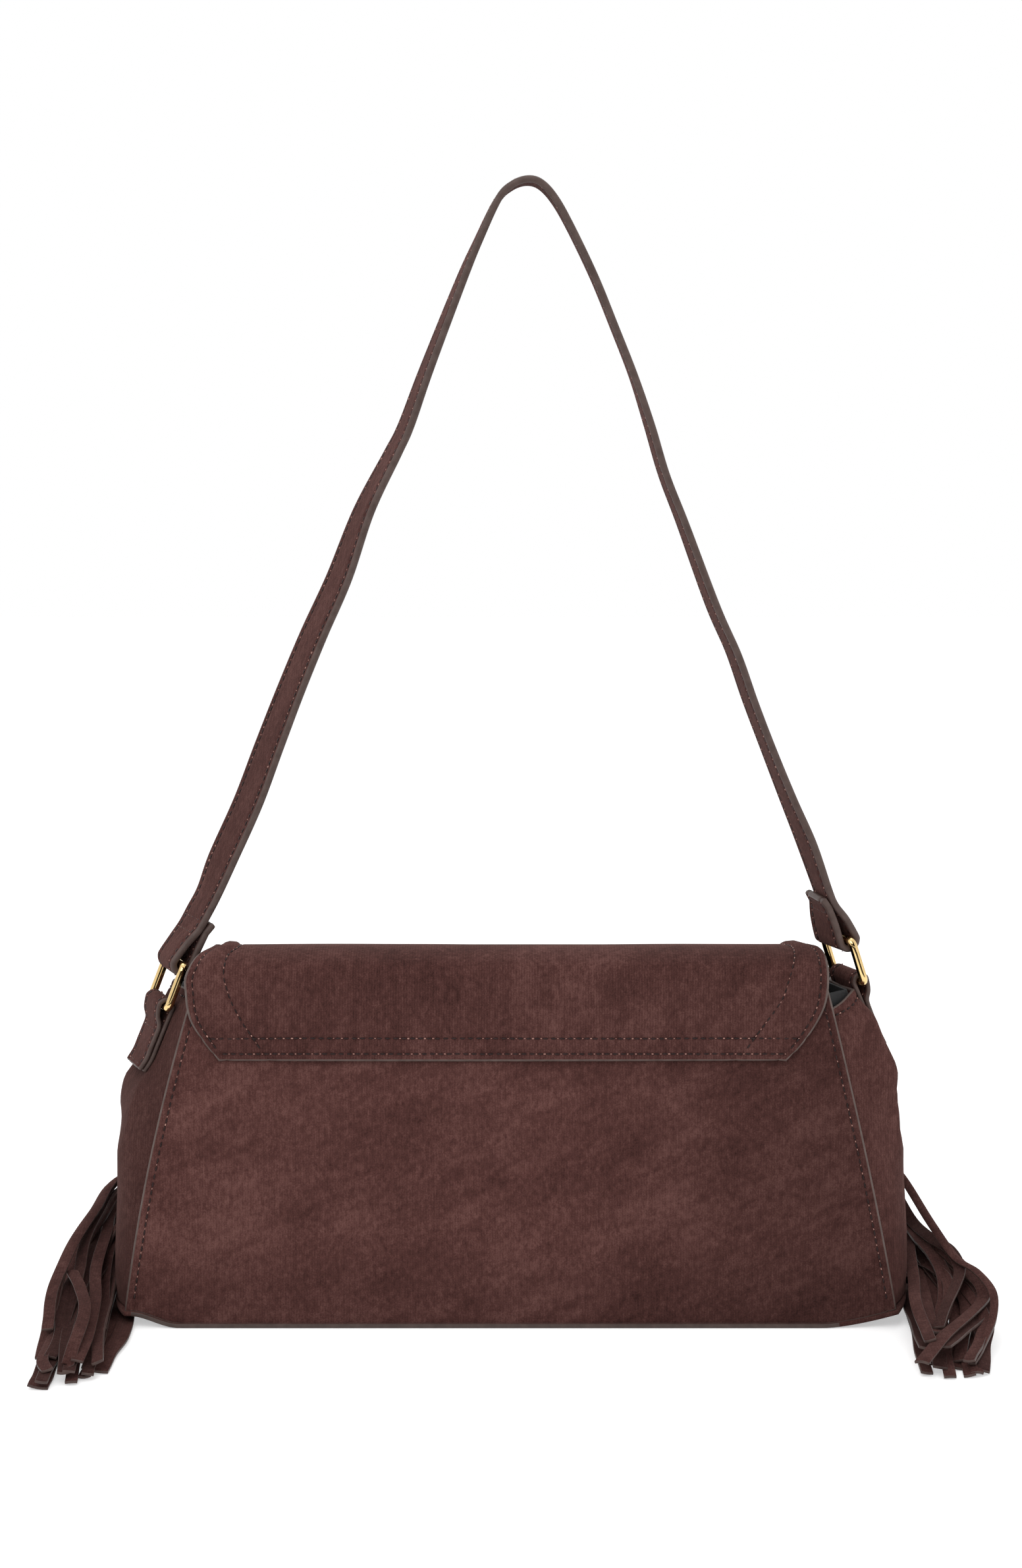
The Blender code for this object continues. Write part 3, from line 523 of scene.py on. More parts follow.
# Height, size and seed of the soft waves
PANEL_WAVES = ((0.0011, 0.055, 3.0), (0.0005, 0.021, 8.0))


def back_half(z, hand=1.0):
    """The back panel's half width; its left seam bows out a little at mid height."""
    swell = LEFT_SWELL * math.sin(math.pi * z / TAPER_HEIGHT) if hand < 0 else 0.0
    return BODY_HALF_WIDTH - BACK_NARROWING * z - BACK_CURVE * z * z + swell


def front_half(z, hand=1.0):
    rounding = max(0.0, (z - FRONT_TOP + FRONT_CORNER) / FRONT_CORNER)
    return BODY_HALF_WIDTH - FRONT_NARROWING * z - FRONT_CORNER_CUT * rounding ** 2


def rise(x):
    """How far the bottom lifts: with a short step at the left corner, slowly at the right one."""
    if x < 0:
        return LEFT_RISE * smooth(LEFT_FLAT, LEFT_STEP, -x)
    share = max(0.0, (x - FLAT_HALF_LENGTH) / (BODY_HALF_WIDTH - FLAT_HALF_LENGTH))
    return CORNER_RISE * share ** RISE_POWER


def panel_place(side, half_width, top):
    """Middle surface of a panel: u across from -1 to 1, v up from 0 to 1."""
    def place(u, v):
        foot = rise(u * half_width(0.0)) + BASE + GAP
        z = foot + (top - foot) * v
        x = u * half_width(z, u)
        sag = sum(high * wave(x, side, z, size, seed) for high, size, seed in PANEL_WAVES)
        border = smooth(0.0, 0.16, v) * smooth(0.0, 0.10, 1.0 - abs(u)) * smooth(0.0, 0.12, 1.0 - v)
        y = side * (half_depth(z) - PANEL / 2) + sag * border
        return Vector((x, y, z))
    return place


EDGE_ROW = 0.0027


def dense(low, high, count, spots, reach=0.0016):
    """Even steps with extra lines beside each spot, for a groove or seam."""
    lines = set(spread(low, high, count))
    for spot in spots:
        for k in (-1.0, -0.55, -0.25, 0.0, 0.25, 0.55, 1.0):
            lines.add(min(max(spot + k * reach, low), high))
    ordered = sorted(lines)
    kept = [ordered[0]]
    for value in ordered[1:]:
        if value - kept[-1] > reach * 0.12:
            kept.append(value)
    kept[-1] = high
    return kept


def groove(distance):
    """Height of a face beside a stitch row at that distance."""
    return -GROOVE * math.exp(-(distance / (GROOVE_REACH * 0.55)) ** 2)


def build_panel(name, node, side, half_width, top):
    place = panel_place(side, half_width, top)
    mid_half = half_width(top / 2)
    row_at = 1 - EDGE_ROW / mid_half
    order = dense(-1.0, 1.0, 96, [-row_at, row_at], 0.010)
    if side < 0:
        order.reverse()
    rows = [[place(u, v) for u in order] for v in spread(0.0, 1.0, 46)]

    def lift(i, j):
        return groove((1 - abs(order[j])) * mid_half - EDGE_ROW)

    finish_mesh(name, sheet_mesh(rows, PANEL, lift), (PANEL_SUEDE, EDGE_PAINT), "bag", node)
    bm = bmesh.new()
    facing = Vector((0.0, side, 0.0))
    for hand in (-1.0, 1.0):
        route = [(hand * (1 - EDGE_ROW / half_width(top * v)), v) for v in spread(0.03, 0.985, 8)]
        add_facing_row(bm, place, route, facing, thread_height(PANEL), hand + side)
    thread_piece(name + "_thread", bm, "bag")


build_panel("back_panel_suede", "back_panel", -1.0, back_half, BACK_TOP)
build_panel("front_panel_suede", "front_panel", 1.0, front_half, FRONT_TOP)


# Gussets

GUSSET_TOP = 0.1375
SEAM_RISE = 0.0012
STRAIGHT_FROM = 0.1040
STRAIGHT_INSET = 0.0050
STRAIGHT_SLOPE = 0.50
GUSSET_SWELL = 0.0062
GUSSET_OUTLINE = (
    (0.0, 0.84), (0.145, 1.0), (0.364, 0.81), (0.501, 0.61), (0.583, 0.16), (0.666, -0.16), (0.708, -0.37),
)
GUSSET_LINE = [(z * GUSSET_TOP, BODY_HALF_WIDTH + swell * GUSSET_SWELL) for z, swell in GUSSET_OUTLINE]
GUSSET_LINE.append((STRAIGHT_FROM, BODY_HALF_WIDTH - STRAIGHT_INSET))
GUSSET_LINE.append((2 * STRAIGHT_FROM, BODY_HALF_WIDTH - STRAIGHT_INSET - STRAIGHT_SLOPE * STRAIGHT_FROM))
FLANGE = 0.0080
SEAM_INSET = 0.0010
FOLD_HALF = 0.0115
FOLD_EDGE = 0.45
FOLD_START = 0.0620
FOLD_FULL = 0.0975
BULGE_POWER = 2.4
FLANGE_SHARE = 0.3
# Height, size and seed of the soft wave, and where it fades out
GUSSET_WAVE = (0.0007, 0.03, 5.0)
WAVE_FADES = (0.080, 0.100)
# How far each gusset and the tab's end on it stray from that line, at each height
DRIFT = {
    -1.0: ((0.050, 0.0), (0.063, 0.0008), (0.0744, 0.0017), (0.0859, 0.0025), (0.0973, 0.0012),
           (0.104, -0.0010), (0.1086, -0.0017), (0.118, -0.0009), (0.127, 0.0)),
    1.0: ((0.060, 0.0), (0.0744, 0.0002), (0.0816, -0.0004), (0.0859, -0.0010), (0.0916, -0.0020),
          (0.0973, -0.0028), (0.103, -0.0020), (0.1086, -0.0016), (0.118, -0.0020), (0.128, -0.0012),
          (0.137, 0.0)),
}


def gusset_depth(z):
    return half_depth(z) - PANEL - GAP - GUSSET / 2


def gusset_point(side, u, z):
    centre = side * (table(GUSSET_LINE, z) + table(DRIFT[side], z))
    depth = gusset_depth(z)
    seam = side * ((back_half(z, side) if u < 0 else front_half(z)) - SEAM_INSET)
    round_x = seam + (centre - seam) * (1.0 - abs(u) ** BULGE_POWER)
    round_y = u * depth
    fold_x, fold_y = FOLD_HALF * math.sin(RING_YAW), FOLD_HALF * math.cos(RING_YAW)
    if abs(u) <= FOLD_EDGE:
        flat_x = centre - fold_x * u / FOLD_EDGE
        flat_y = fold_y * u / FOLD_EDGE
    else:
        sign = math.copysign(1.0, u)
        t = (abs(u) - FOLD_EDGE) / (1.0 - FOLD_EDGE)
        flat_x = (centre - sign * fold_x) * (1.0 - t) + seam * t
        flat_y = sign * (fold_y * (1.0 - t) + depth * t)
    blend = smooth(FOLD_START, FOLD_FULL, z)
    return round_x + (flat_x - round_x) * blend, round_y + (flat_y - round_y) * blend


PLEAT = {-1.0: 0.0008, 1.0: 0.0072}
PLEAT_GROWS = (0.086, 0.108)
PLEAT_FADES = (0.126, 0.1385)
BACK_DROP = {-1.0: 0.0, 1.0: 0.0065}


def pleat(side, u, z):
    """How far the back half puffs out beside the flat fold."""
    share = (-u - FOLD_EDGE) / (1.0 - FOLD_EDGE)
    if not 0.0 < share < 1.0:
        return 0.0
    hump = math.sin(math.pi * share ** 0.55)
    return PLEAT[side] * hump * smooth(*PLEAT_GROWS, z) * (1.0 - smooth(*PLEAT_FADES, z))


def gusset_place(side):
    """u from -1.3 to 1.3 with the flanges, v up from 0 to 1."""
    high, size, seed = GUSSET_WAVE

    def place(u, v):
        core = max(-1.0, min(1.0, u))
        drop = BACK_DROP[side] * max(0.0, -core - FOLD_EDGE) / (1.0 - FOLD_EDGE)
        top = GUSSET_TOP + SEAM_RISE * abs(core) - drop
        foot = rise(gusset_point(side, core, 0.0)[0]) + BASE + GAP + GUSSET / 2
        z = foot + (top - foot) * v
        x, y = gusset_point(side, core, z)
        x -= side * max(0.0, abs(u) - 1.0) / FLANGE_SHARE * FLANGE
        softly = high * wave(side, y, z, size, seed) * smooth(0.0, 0.3, 1.0 - abs(core)) * smooth(0.0, 0.2, v)
        return Vector((x + softly * (1.0 - smooth(*WAVE_FADES, z)) + side * pleat(side, core, z), y, z))
    return place


GUSSET_ROW = 0.0028
GUSSET_PAINTED = 0.0200


def build_gusset(hand, side):
    place = gusset_place(side)
    us = [-1.3, -1.15, -1.03] + spread(-1.0, 1.0, 56) + [1.03, 1.15, 1.3]
    row_at = 1.0 - GUSSET_ROW / GUSSET_TOP
    vs = dense(0.0, 1.0, 52, [row_at], 0.011)
    order = us if side > 0 else us[::-1]
    rows = [[place(u, v) for v in vs] for u in order]

    def lift(i, j):
        return groove((vs[j] - row_at) * GUSSET_TOP)

    sheet = plain_border(sheet_mesh(rows, GUSSET, lift), lambda p: p.z < GUSSET_PAINTED)
    finish_mesh(f"gusset_{hand}_suede", sheet, (SHADED_SIDE_SUEDE[hand], EDGE_PAINT), "bag", f"gusset_{hand}")
    bm = bmesh.new()
    route = [(u, row_at) for u in (-0.97, 0.0, 0.97)]
    add_facing_row(bm, place, route, Vector((side, 0.0, 0.0)), thread_height(GUSSET), side * 7)
    thread_piece(f"gusset_{hand}_thread", bm, "bag")


build_gusset("left", -1.0)
build_gusset("right", 1.0)


# Base

BASE_LIP = 0.0010
BASE_INSET = 0.0002
BASE_LIFT = 0.0001
BASE_PAINTED = (-0.1580, 0.1360)


def build_base():
    rows = []
    for u in spread(-1.0, 1.0, 22):
        y = u * (HALF_DEPTH + BASE_LIP)
        reach = gusset_point(1.0, max(-0.999, min(0.999, u)), 0.0)[0] + GUSSET / 2 - BASE_INSET
        row = [Vector((s * reach, y, rise(s * reach) + BASE / 2 + BASE_LIFT)) for s in spread(-1.0, 1.0, 120)]
        rows.append(row[::-1])
    first, last = BASE_PAINTED
    sheet = plain_border(sheet_mesh(rows, BASE, bead=0.5), lambda p: not first <= p.x <= last)
    finish_mesh("base_suede", sheet, (PANEL_SUEDE, BASE_PAINT), "bag", "base_panel")


build_base()


# Lining

LINING_DROP = 0.0020
LINING_GAP = 0.0015
LINING_WAVE = 0.0008
LINING_THICKNESS = 0.0008


def build_lining():
    """Open cup of black cloth with slack waves."""
    foot = rise(BODY_HALF_WIDTH + GUSSET_SWELL) + BASE + GAP
    inset = GUSSET / 2 + LINING_GAP
    bm = bmesh.new()
    rings = []
    for z in spread(foot, FRONT_TOP - LINING_DROP, 26):
        loop = []
        for side in (1.0, -1.0):
            line = [(side * (back_half(z) - SEAM_INSET - FLANGE), -gusset_depth(z))]
            line += [gusset_point(side, u, z) for u in spread(-1.0, 1.0, 24)]
            line.append((side * (front_half(z) - SEAM_INSET - FLANGE), gusset_depth(z)))
            line = [Vector((x, y, z)) for x, y in line]
            moved = []
            for j, point in enumerate(line):
                across = line[min(j + 1, len(line) - 1)] - line[max(j - 1, 0)]
                normal = Vector((-across.y, across.x, 0.0)).normalized() * side
                moved.append(point + normal * inset)
            if side < 0:
                moved.reverse()
            loop += moved
            a, b = moved[-1], Vector((-moved[-1].x, moved[-1].y, z))
            for t in spread(0.0, 1.0, 40)[1:-1]:
                p = a.lerp(b, t)
                inward = -math.copysign(1.0, p.y)
                p.y += inward * LINING_WAVE * (1.0 + wave(p.x, z, p.y, 0.02, 2.0))
                loop.append(p)
        rings.append([bm.verts.new(p) for p in loop])
    for low, high in zip(rings, rings[1:]):
        bridge(bm, low, high)
    bm.faces.new(rings[0][::-1])
    made = finish_mesh("lining_cloth", bm, (LINING,), "bag", "lining")
    thick = made.modifiers.new("cloth", "SOLIDIFY")
    thick.thickness = LINING_THICKNESS
    thick.offset = -1.0


build_lining()


# Flap

FLAP = 0.0022


def on_back(z):
    return -(half_depth(z) + GAP + FLAP / 2)


def off_front(z, standoff):
    return half_depth(z) + standoff


# y, z, reach to the left, reach to the right, puff, inner seam's distance from the edge
FLAP_ROUTE = (
    (on_back(0.1132), 0.1132, 0.1200, 0.1131, 0.00, 0.0200),
    (on_back(0.1173), 0.1173, 0.1236, 0.1174, 0.05, 0.0205),
    (on_back(0.1223), 0.1223, 0.1272, 0.1214, 0.20, 0.0208),
    (on_back(0.1281), 0.1281, 0.1308, 0.1252, 0.55, 0.0204),
    (on_back(0.1342), 0.1342, 0.1326, 0.1282, 0.85, 0.0188),
    (on_back(0.1402), 0.1402, 0.1332, 0.1296, 1.00, 0.0168),
    (on_back(0.1463), 0.1463, 0.1335, 0.1300, 1.00, 0.0155),
    (-0.0266, 0.1512, 0.1315, 0.1297, 1.00, 0.0135),
    (-0.0200, 0.1545, 0.1285, 0.1291, 1.00, 0.0118),
    (-0.0110, 0.1557, 0.1240, 0.1275, 1.00, 0.0105),
    (0.0000, 0.1546, 0.1236, 0.1250, 1.00, 0.0100),
    (0.0115, 0.1520, 0.1245, 0.1236, 1.00, 0.0105),
    (0.0215, 0.1480, 0.1270, 0.1262, 1.00, 0.0120),
    (0.0279, 0.1430, 0.1300, 0.1297, 1.00, 0.0140),
    (off_front(0.1358, 0.0024), 0.1358, 0.1320, 0.1320, 1.00, 0.0160),
    (off_front(0.1240, 0.0034), 0.1240, 0.1335, 0.1335, 1.00, 0.0180),
    (off_front(0.1080, 0.0047), 0.1080, 0.1345, 0.1345, 1.00, 0.0190),
    (off_front(0.0920, 0.0050), 0.0920, 0.1340, 0.1340, 0.80, 0.0200),
    (off_front(0.0780, 0.0050), 0.0780, 0.1310, 0.1310, 0.30, 0.0210),
    (off_front(0.0690, 0.0050), 0.0690, 0.1265, 0.1265, 0.05, 0.0215),
    (off_front(0.0620, 0.0050), 0.0620, 0.1215, 0.1215, 0.00, 0.0220),
)
PUFF = 0.0014
OUTLINE_ROW = 0.0025
YOKE_ROWS = (0.1155, 0.1219)
ROW_START = 0.0040
ROW_END = 0.0030
FLAP_HALF = 0.1310
FLAP_WAVE = 0.0007
FLAP_WAVE_FULL = 0.0120
FLAP_STEP = 0.0008
MOUTH_TURN = 0.0040
CHANNEL = 0.0085
CHANNEL_STEP = 0.0005
UNDER_FLAP = Vector((0.0, 0.0, 0.0900))


def build_flap():
    read = catmull(FLAP_ROUTE)
    count = 400
    places = [read(t)[:2] for t in spread(0.0, 1.0, count)]
    lengths = [0.0]
    for here, there in zip(places, places[1:]):
        lengths.append(lengths[-1] + math.dist(here, there))
    total = lengths[-1]
    cache = {}

    def section(s):
        """The route's values at a length along it."""
        key = round(s, 6)
        if key not in cache:
            s = min(max(s, 0.0), total)
            k = next(i for i in range(count) if lengths[i] <= s <= lengths[i + 1])
            f = (s - lengths[k]) / (lengths[k + 1] - lengths[k])
            cache[key] = read((k + f) / count)
        return cache[key]

    def place(d, s):
        """d is -1 at the left edge and 1 at the right edge."""
        y, z, left, right, _, _ = section(s)
        x = (right - left) / 2 + d * (right + left) / 2
        soft = FLAP_WAVE * wave(x, y, z, 0.045, 1.0) * smooth(0.0, FLAP_WAVE_FULL, s)
        across = smooth(-MOUTH_TURN, MOUTH_TURN, y)
        return Vector((x, y - soft * (1 - across), z + soft * across))

    yokes = [next(lengths[k] for k in range(count) if places[k + 1][1] >= z) for z in YOKE_ROWS]
    vs = dense(0.0, total, 84, [*yokes, OUTLINE_ROW, total - OUTLINE_ROW], 0.0014)
    out = 1 - OUTLINE_ROW / FLAP_HALF
    us = dense(-1.0, 1.0, 90, [-out, out], 0.011)
    us += [s * (1 - (CHANNEL + CHANNEL_STEP * k) / FLAP_HALF) for s in (-1, 1) for k in range(29)]
    us = sorted(set(us), reverse=True)

    def height(d, s):
        y, z, left, right, puff, inner = section(s)
        half = (left + right) / 2
        edge = (1 - abs(d)) * half
        share = (edge - OUTLINE_ROW) / (inner - OUTLINE_ROW)
        soft = 0.0
        if 0.0 < share < 1.0:
            soft = PUFF * max(0.0, puff) * math.sin(math.pi * share) ** 0.6
            soft *= 1.0 + 0.25 * wave(d * half, y, z, 0.02, 6.0)
        seams = [edge - OUTLINE_ROW, edge - inner, *(s - row for row in yokes), total - s - OUTLINE_ROW]
        return soft + sum(groove(seam) for seam in seams)

    rows = [[place(d, s) for d in us] for s in vs]
    sheet = sheet_mesh(rows, FLAP, lambda i, j: height(us[j], vs[i]))
    finish_mesh("flap_suede", sheet, (FLAP_SUEDE, EDGE_PAINT), "bag", "flap")
    bm = bmesh.new()

    def laid(route, seed, samples=220):
        points, normals = [], []
        reader = catmull(route)
        for t in spread(0.0, 1.0, samples):
            d, s = reader(t)
            du = place(d + 0.004, s) - place(d - 0.004, s)
            dv = place(d, min(s + FLAP_STEP, total)) - place(d, max(s - FLAP_STEP, 0.0))
            normal = dv.cross(du).normalized()
            point = place(d, s)
            if normal.dot(point - UNDER_FLAP) < 0:
                normal = -normal
            points.append(point + normal * thread_height(FLAP))
            normals.append(normal)
        add_row(bm, points, normals, seed)

    def inside(inset, s):
        """How far across a place lies that is an inset inside the edge."""
        _, _, left, right, _, _ = section(s)
        return 1 - inset / ((left + right) / 2)

    for k, row in enumerate(yokes):
        laid([(d * inside(OUTLINE_ROW, row), row) for d in (-1.0, 0.0, 1.0)], k)
    for side in (-1.0, 1.0):
        stops = spread(ROW_START, total - ROW_END, 24)
        laid([(side * inside(OUTLINE_ROW, s), s) for s in stops], side * 3, 400)
        laid([(side * inside(section(s)[5], s), s) for s in stops], side * 5, 400)
    laid([(d * inside(OUTLINE_ROW, total), total - OUTLINE_ROW) for d in (-1.0, 0.0, 1.0)], 9)
    thread_piece("flap_thread", bm, "bag")


build_flap()


# Rings

RING_WIRE = 0.0035
RING_HEIGHT = 0.0225
RING_WIDTH = 0.0323
RING_CORNER = 0.0027
RING_LEAN = {"left": math.radians(21.9), "right": math.radians(18.9)}
RING_SEAT = {"left": 0.1290, "right": 0.1394}
SIDES = {"left": -1.0, "right": 1.0}
TAB = 0.0018
TAB_WIDTH = 0.0215
TAB_LENGTH = 0.0285
TAB_SPREAD = 0.0085
TAB_EASE = 0.0002


def seat_directions(hand):
    side = SIDES[hand]
    line = Vector((-side * STRAIGHT_SLOPE, 0.0, 1.0))
    square = line - AXIS * line.dot(AXIS)
    up = square.normalized()
    return up, AXIS.cross(up) * side, line.dot(AXIS) / square.length


def lower_bar(hand):
    height = RING_SEAT[hand]
    _, out, _ = seat_directions(hand)
    off = GUSSET / 2 + GAP + TAB + GAP + RING_WIRE / 2
    return Vector((SIDES[hand] * table(GUSSET_LINE, height), 0.0, height)) + out * off


def ring_up(hand):
    lean = RING_LEAN[hand]
    return PLANE * (-SIDES[hand] * math.sin(lean)) + UP * math.cos(lean)


def upper_bar(hand):
    return lower_bar(hand) + ring_up(hand) * (RING_HEIGHT - RING_WIRE)


def build_ring(hand):
    up, low = ring_up(hand), lower_bar(hand)

    def bend(x, y, degrees):
        a = math.radians(degrees)
        return low + AXIS * (x + RING_CORNER * math.cos(a)) + up * (y + RING_CORNER * math.sin(a))

    half = (RING_WIDTH - RING_WIRE) / 2 - RING_CORNER
    high = RING_HEIGHT - RING_WIRE - RING_CORNER
    corners = ((half, RING_CORNER, -90), (half, high, 0), (-half, high, 90), (-half, RING_CORNER, 180))
    path = []
    for (x, y, start), following in zip(corners, corners[1:] + corners[:1]):
        path += [bend(x, y, start + 90 * k / 8) for k in range(9)]
        here, there = path[-1], bend(*following)
        path += [here.lerp(there, t) for t in (0.2, 0.4, 0.6, 0.8)]
    node = f"ring_{hand}"
    finish_mesh(node + "_metal", tube_mesh(path, RING_WIRE / 2, 28), (GOLD,), node, node, None)


build_ring("left")
build_ring("right")


# Strips folded round the bars

STRIP_ROW = 0.0024


def strip_piece(name, node, body, centres, across, width, thickness, steps, crosses=None):
    """A strip whose centres and width's direction are read at 0 to 1.

    Where crosses is given, the strip is stitched along both sides, and across at those places.
    """
    inner = 0.5 - STRIP_ROW / width
    columns = dense(-0.5, 0.5, 8, [] if crosses is None else [-inner, inner], 0.055)
    grid = []
    for t in spread(0.0, 1.0, steps):
        c, d = centres(t), across(t)
        grid.append([c + d * (width * s) for s in columns])

    def press(i, j):
        return 0.0 if crosses is None else groove((0.5 - abs(columns[j])) * width - STRIP_ROW)

    bm = sheet_mesh(grid, thickness, press, lambda i, j: -press(i, j), bead=0.85)
    finish_mesh(name, bm, (STRAP_SUEDE, STRIP_PAINT), body, node)
    if crosses is None:
        return
    middles = [row[len(columns) // 2] for row in grid_normals(grid)]
    lift = thread_height(thickness, 0.7)
    reach = width / 2 - STRIP_ROW
    thread = bmesh.new()
    for face in (1.0, -1.0):
        for s in (-1.0, 1.0):
            path, aims = [], []
            for i in range(2, len(grid) - 2):
                t = i / steps
                aims.append(middles[i] * face)
                path.append(centres(t) + across(t) * (s * reach) + aims[-1] * lift)
            add_row(thread, path, aims, s + face)
        for t in crosses:
            n = middles[round(t * steps)] * face
            path = [centres(t) + across(t) * (k * reach) + n * lift for k in spread(-1.0, 1.0, 12)]
            add_row(thread, path, [n] * len(path), t)
    thread_piece(name + "_thread", thread, body)


def vector_curve(points):
    read = catmull(points)
    return lambda t: Vector(read(t))


def build_tab(hand):
    low = lower_bar(hand)
    up, out, lean = seat_directions(hand)
    down = -up - AXIS * lean
    radius = RING_WIRE / 2 + GAP + TAB / 2
    outer = -(radius - TAB - GAP)
    points = [low + down * (TAB_LENGTH * k) + out * outer for k in (1.0, 0.83, 0.65, 0.48)]
    points.append(low + down * TAB_SPREAD + out * (outer + TAB_EASE))
    points.append(low + down * (TAB_SPREAD * 0.55) + out * (radius * 0.5))
    for k in range(7):
        angle = math.radians(-6 + 186 * k / 6)
        points.append(low + out * (radius * math.cos(angle)) + up * (radius * math.sin(angle)))
    points += [low + down * (TAB_LENGTH * k) - out * radius for k in (0.35, 0.5, 0.65, 0.83, 1.0)]
    side = SIDES[hand]
    points = [p + Vector((side * table(DRIFT[side], p.z), 0.0, 0.0)) for p in points]
    strip_piece(f"tab_{hand}_suede", f"tab_{hand}", "bag", vector_curve(points), lambda t: AXIS,
                TAB_WIDTH, TAB, 150, (0.015, 0.205))


build_tab("left")
build_tab("right")


# Strap

STRAP = 0.0029
STRAP_WIDTH = 0.0225
STRAP_LEAN = {"left": math.radians(31.0), "right": math.radians(23.0)}
FOLD_BACK = 0.0195
# How far the strap turns, in degrees, from the bar to the top of its two layers
STRAP_TWIST = {"left": 5.0, "right": -9.0}
LOOP_LENGTH = 0.0155
LOOP_CLEARANCE = 0.00045
FOLD_SPREAD = 0.0006
TWIST_FROM = 0.0040
STRAP_FOOT = 0.1600
STRAP_TOP = 0.4711
# x as a share of the body's half width, height as a share from foot to top, turn in degrees
STRAP_ROUTE = (
    (-0.788, 0.056, 25.0), (-0.751, 0.102, 29.5), (-0.684, 0.178, 29.5), (-0.627, 0.255, 28.5),
    (-0.570, 0.330, 27.0), (-0.509, 0.405, 26.0), (-0.443, 0.480, 24.0), (-0.378, 0.569, 18.5),
    (-0.304, 0.644, 14.5), (-0.269, 0.681, 12.5), (-0.216, 0.755, 10.0), (-0.127, 0.871, 6.5),
    (-0.083, 0.923, 4.0), (-0.034, 0.975, 2.5), (0.001, 0.993, 2.0), (0.040, 1.000, 2.0),
    (0.075, 0.995, 1.0), (0.111, 0.975, 0.5), (0.152, 0.938, 0.0), (0.212, 0.874, 0.0),
    (0.263, 0.810, 0.0), (0.312, 0.746, 0.5), (0.353, 0.682, 2.5), (0.391, 0.617, 3.0),
    (0.440, 0.552, 4.0), (0.519, 0.443, 6.0), (0.573, 0.380, 6.5), (0.617, 0.316, 7.0),
    (0.665, 0.252, 7.5), (0.715, 0.188, 9.5), (0.763, 0.129, 12.5),
)


def strap_loop(hand):
    side, lean = SIDES[hand], STRAP_LEAN[hand]
    centre = upper_bar(hand)
    up = PLANE * (-side * math.sin(lean)) + UP * math.cos(lean)
    out = PLANE * (side * math.cos(lean)) + UP * math.sin(lean)
    radius = RING_WIRE / 2 + LOOP_CLEARANCE + STRAP / 2
    lay = (STRAP + GAP) / 2
    points = [centre + up * (FOLD_BACK + STRAP) + out * lay]
    points.append(centre + up * LOOP_LENGTH + out * lay)
    points.append(centre + up * (LOOP_LENGTH * 0.55) + out * (radius * 0.55 + lay * 0.45))
    for k in range(7):
        angle = math.radians(-6 + 192 * k / 6)
        points.append(centre + out * (radius * math.cos(angle)) - up * (radius * math.sin(angle)))
    points.append(centre + up * (LOOP_LENGTH * 0.55) - out * (radius * 0.50 + lay * 0.50))
    points.append(centre + up * LOOP_LENGTH - out * lay)
    points.append(centre + up * (FOLD_BACK * 0.82) - out * lay)
    points.append(centre + up * FOLD_BACK - out * (lay + FOLD_SPREAD))
    yaw = math.degrees(RING_YAW)
    return [(*p, yaw + STRAP_TWIST[hand] * smooth(TWIST_FROM, FOLD_BACK, (p - centre).dot(up))) for p in points]


def build_strap():
    route, right = strap_loop("left")[::-1], strap_loop("right")
    first, last = route[-1][1], right[0][1]
    for x, height, turn in STRAP_ROUTE:
        share = (x - STRAP_ROUTE[0][0]) / (STRAP_ROUTE[-1][0] - STRAP_ROUTE[0][0])
        z = STRAP_FOOT + (STRAP_TOP - STRAP_FOOT) * height
        route.append((x * BODY_HALF_WIDTH, first + (last - first) * share, z, turn))
    route += right
    read = catmull(route)

    def centres(t):
        return Vector(read(t)[:3])

    def across(t):
        turn = math.radians(read(t)[3])
        return Vector((-math.sin(turn), math.cos(turn), 0.0))

    spans = len(route) - 1
    marks = [k / spans for k in (0.35, 2.36, 11.64, 12.58)]
    marks += [1.0 - m for m in reversed(marks)]
    strip_piece("shoulder_strap_suede", "shoulder_strap", "strap", centres, across,
                STRAP_WIDTH, STRAP, 620, marks)


build_strap()


# Tassels

STRIP_WIDTH = 0.0047
STRIP = 0.0011
STRIP_SWAY = 0.0012
STRIP_CURL = 0.0010
FLOOR_GAP = 0.0002
HEAD_RADIUS = 0.0070
HEAD_LENGTH = 0.0220
HEAD_EXIT = 0.0040
ROLL = 0.0012
ROLL_EASE = 0.0002
HEAD_TOP = (BODY_HALF_WIDTH - 0.0180, HALF_DEPTH + 0.0145, 0.0800)
HEAD_AXIS = (0.45, -0.02, -0.89)
BAND = 0.0011
BAND_GAP = 0.0006
BAND_START = 0.0050
BAND_WIDTH = 0.0080
HANGER = 0.0014
HANGER_WIDTH = 0.0080
HANGER_TOP = 0.1120
# The hanger's turn over the head, as y and z from its end
HANGER_TURN = ((-0.0075, 0.0035), (-0.0030, 0.0004), (0.0030, 0.0001))
TENTH = 0.0001

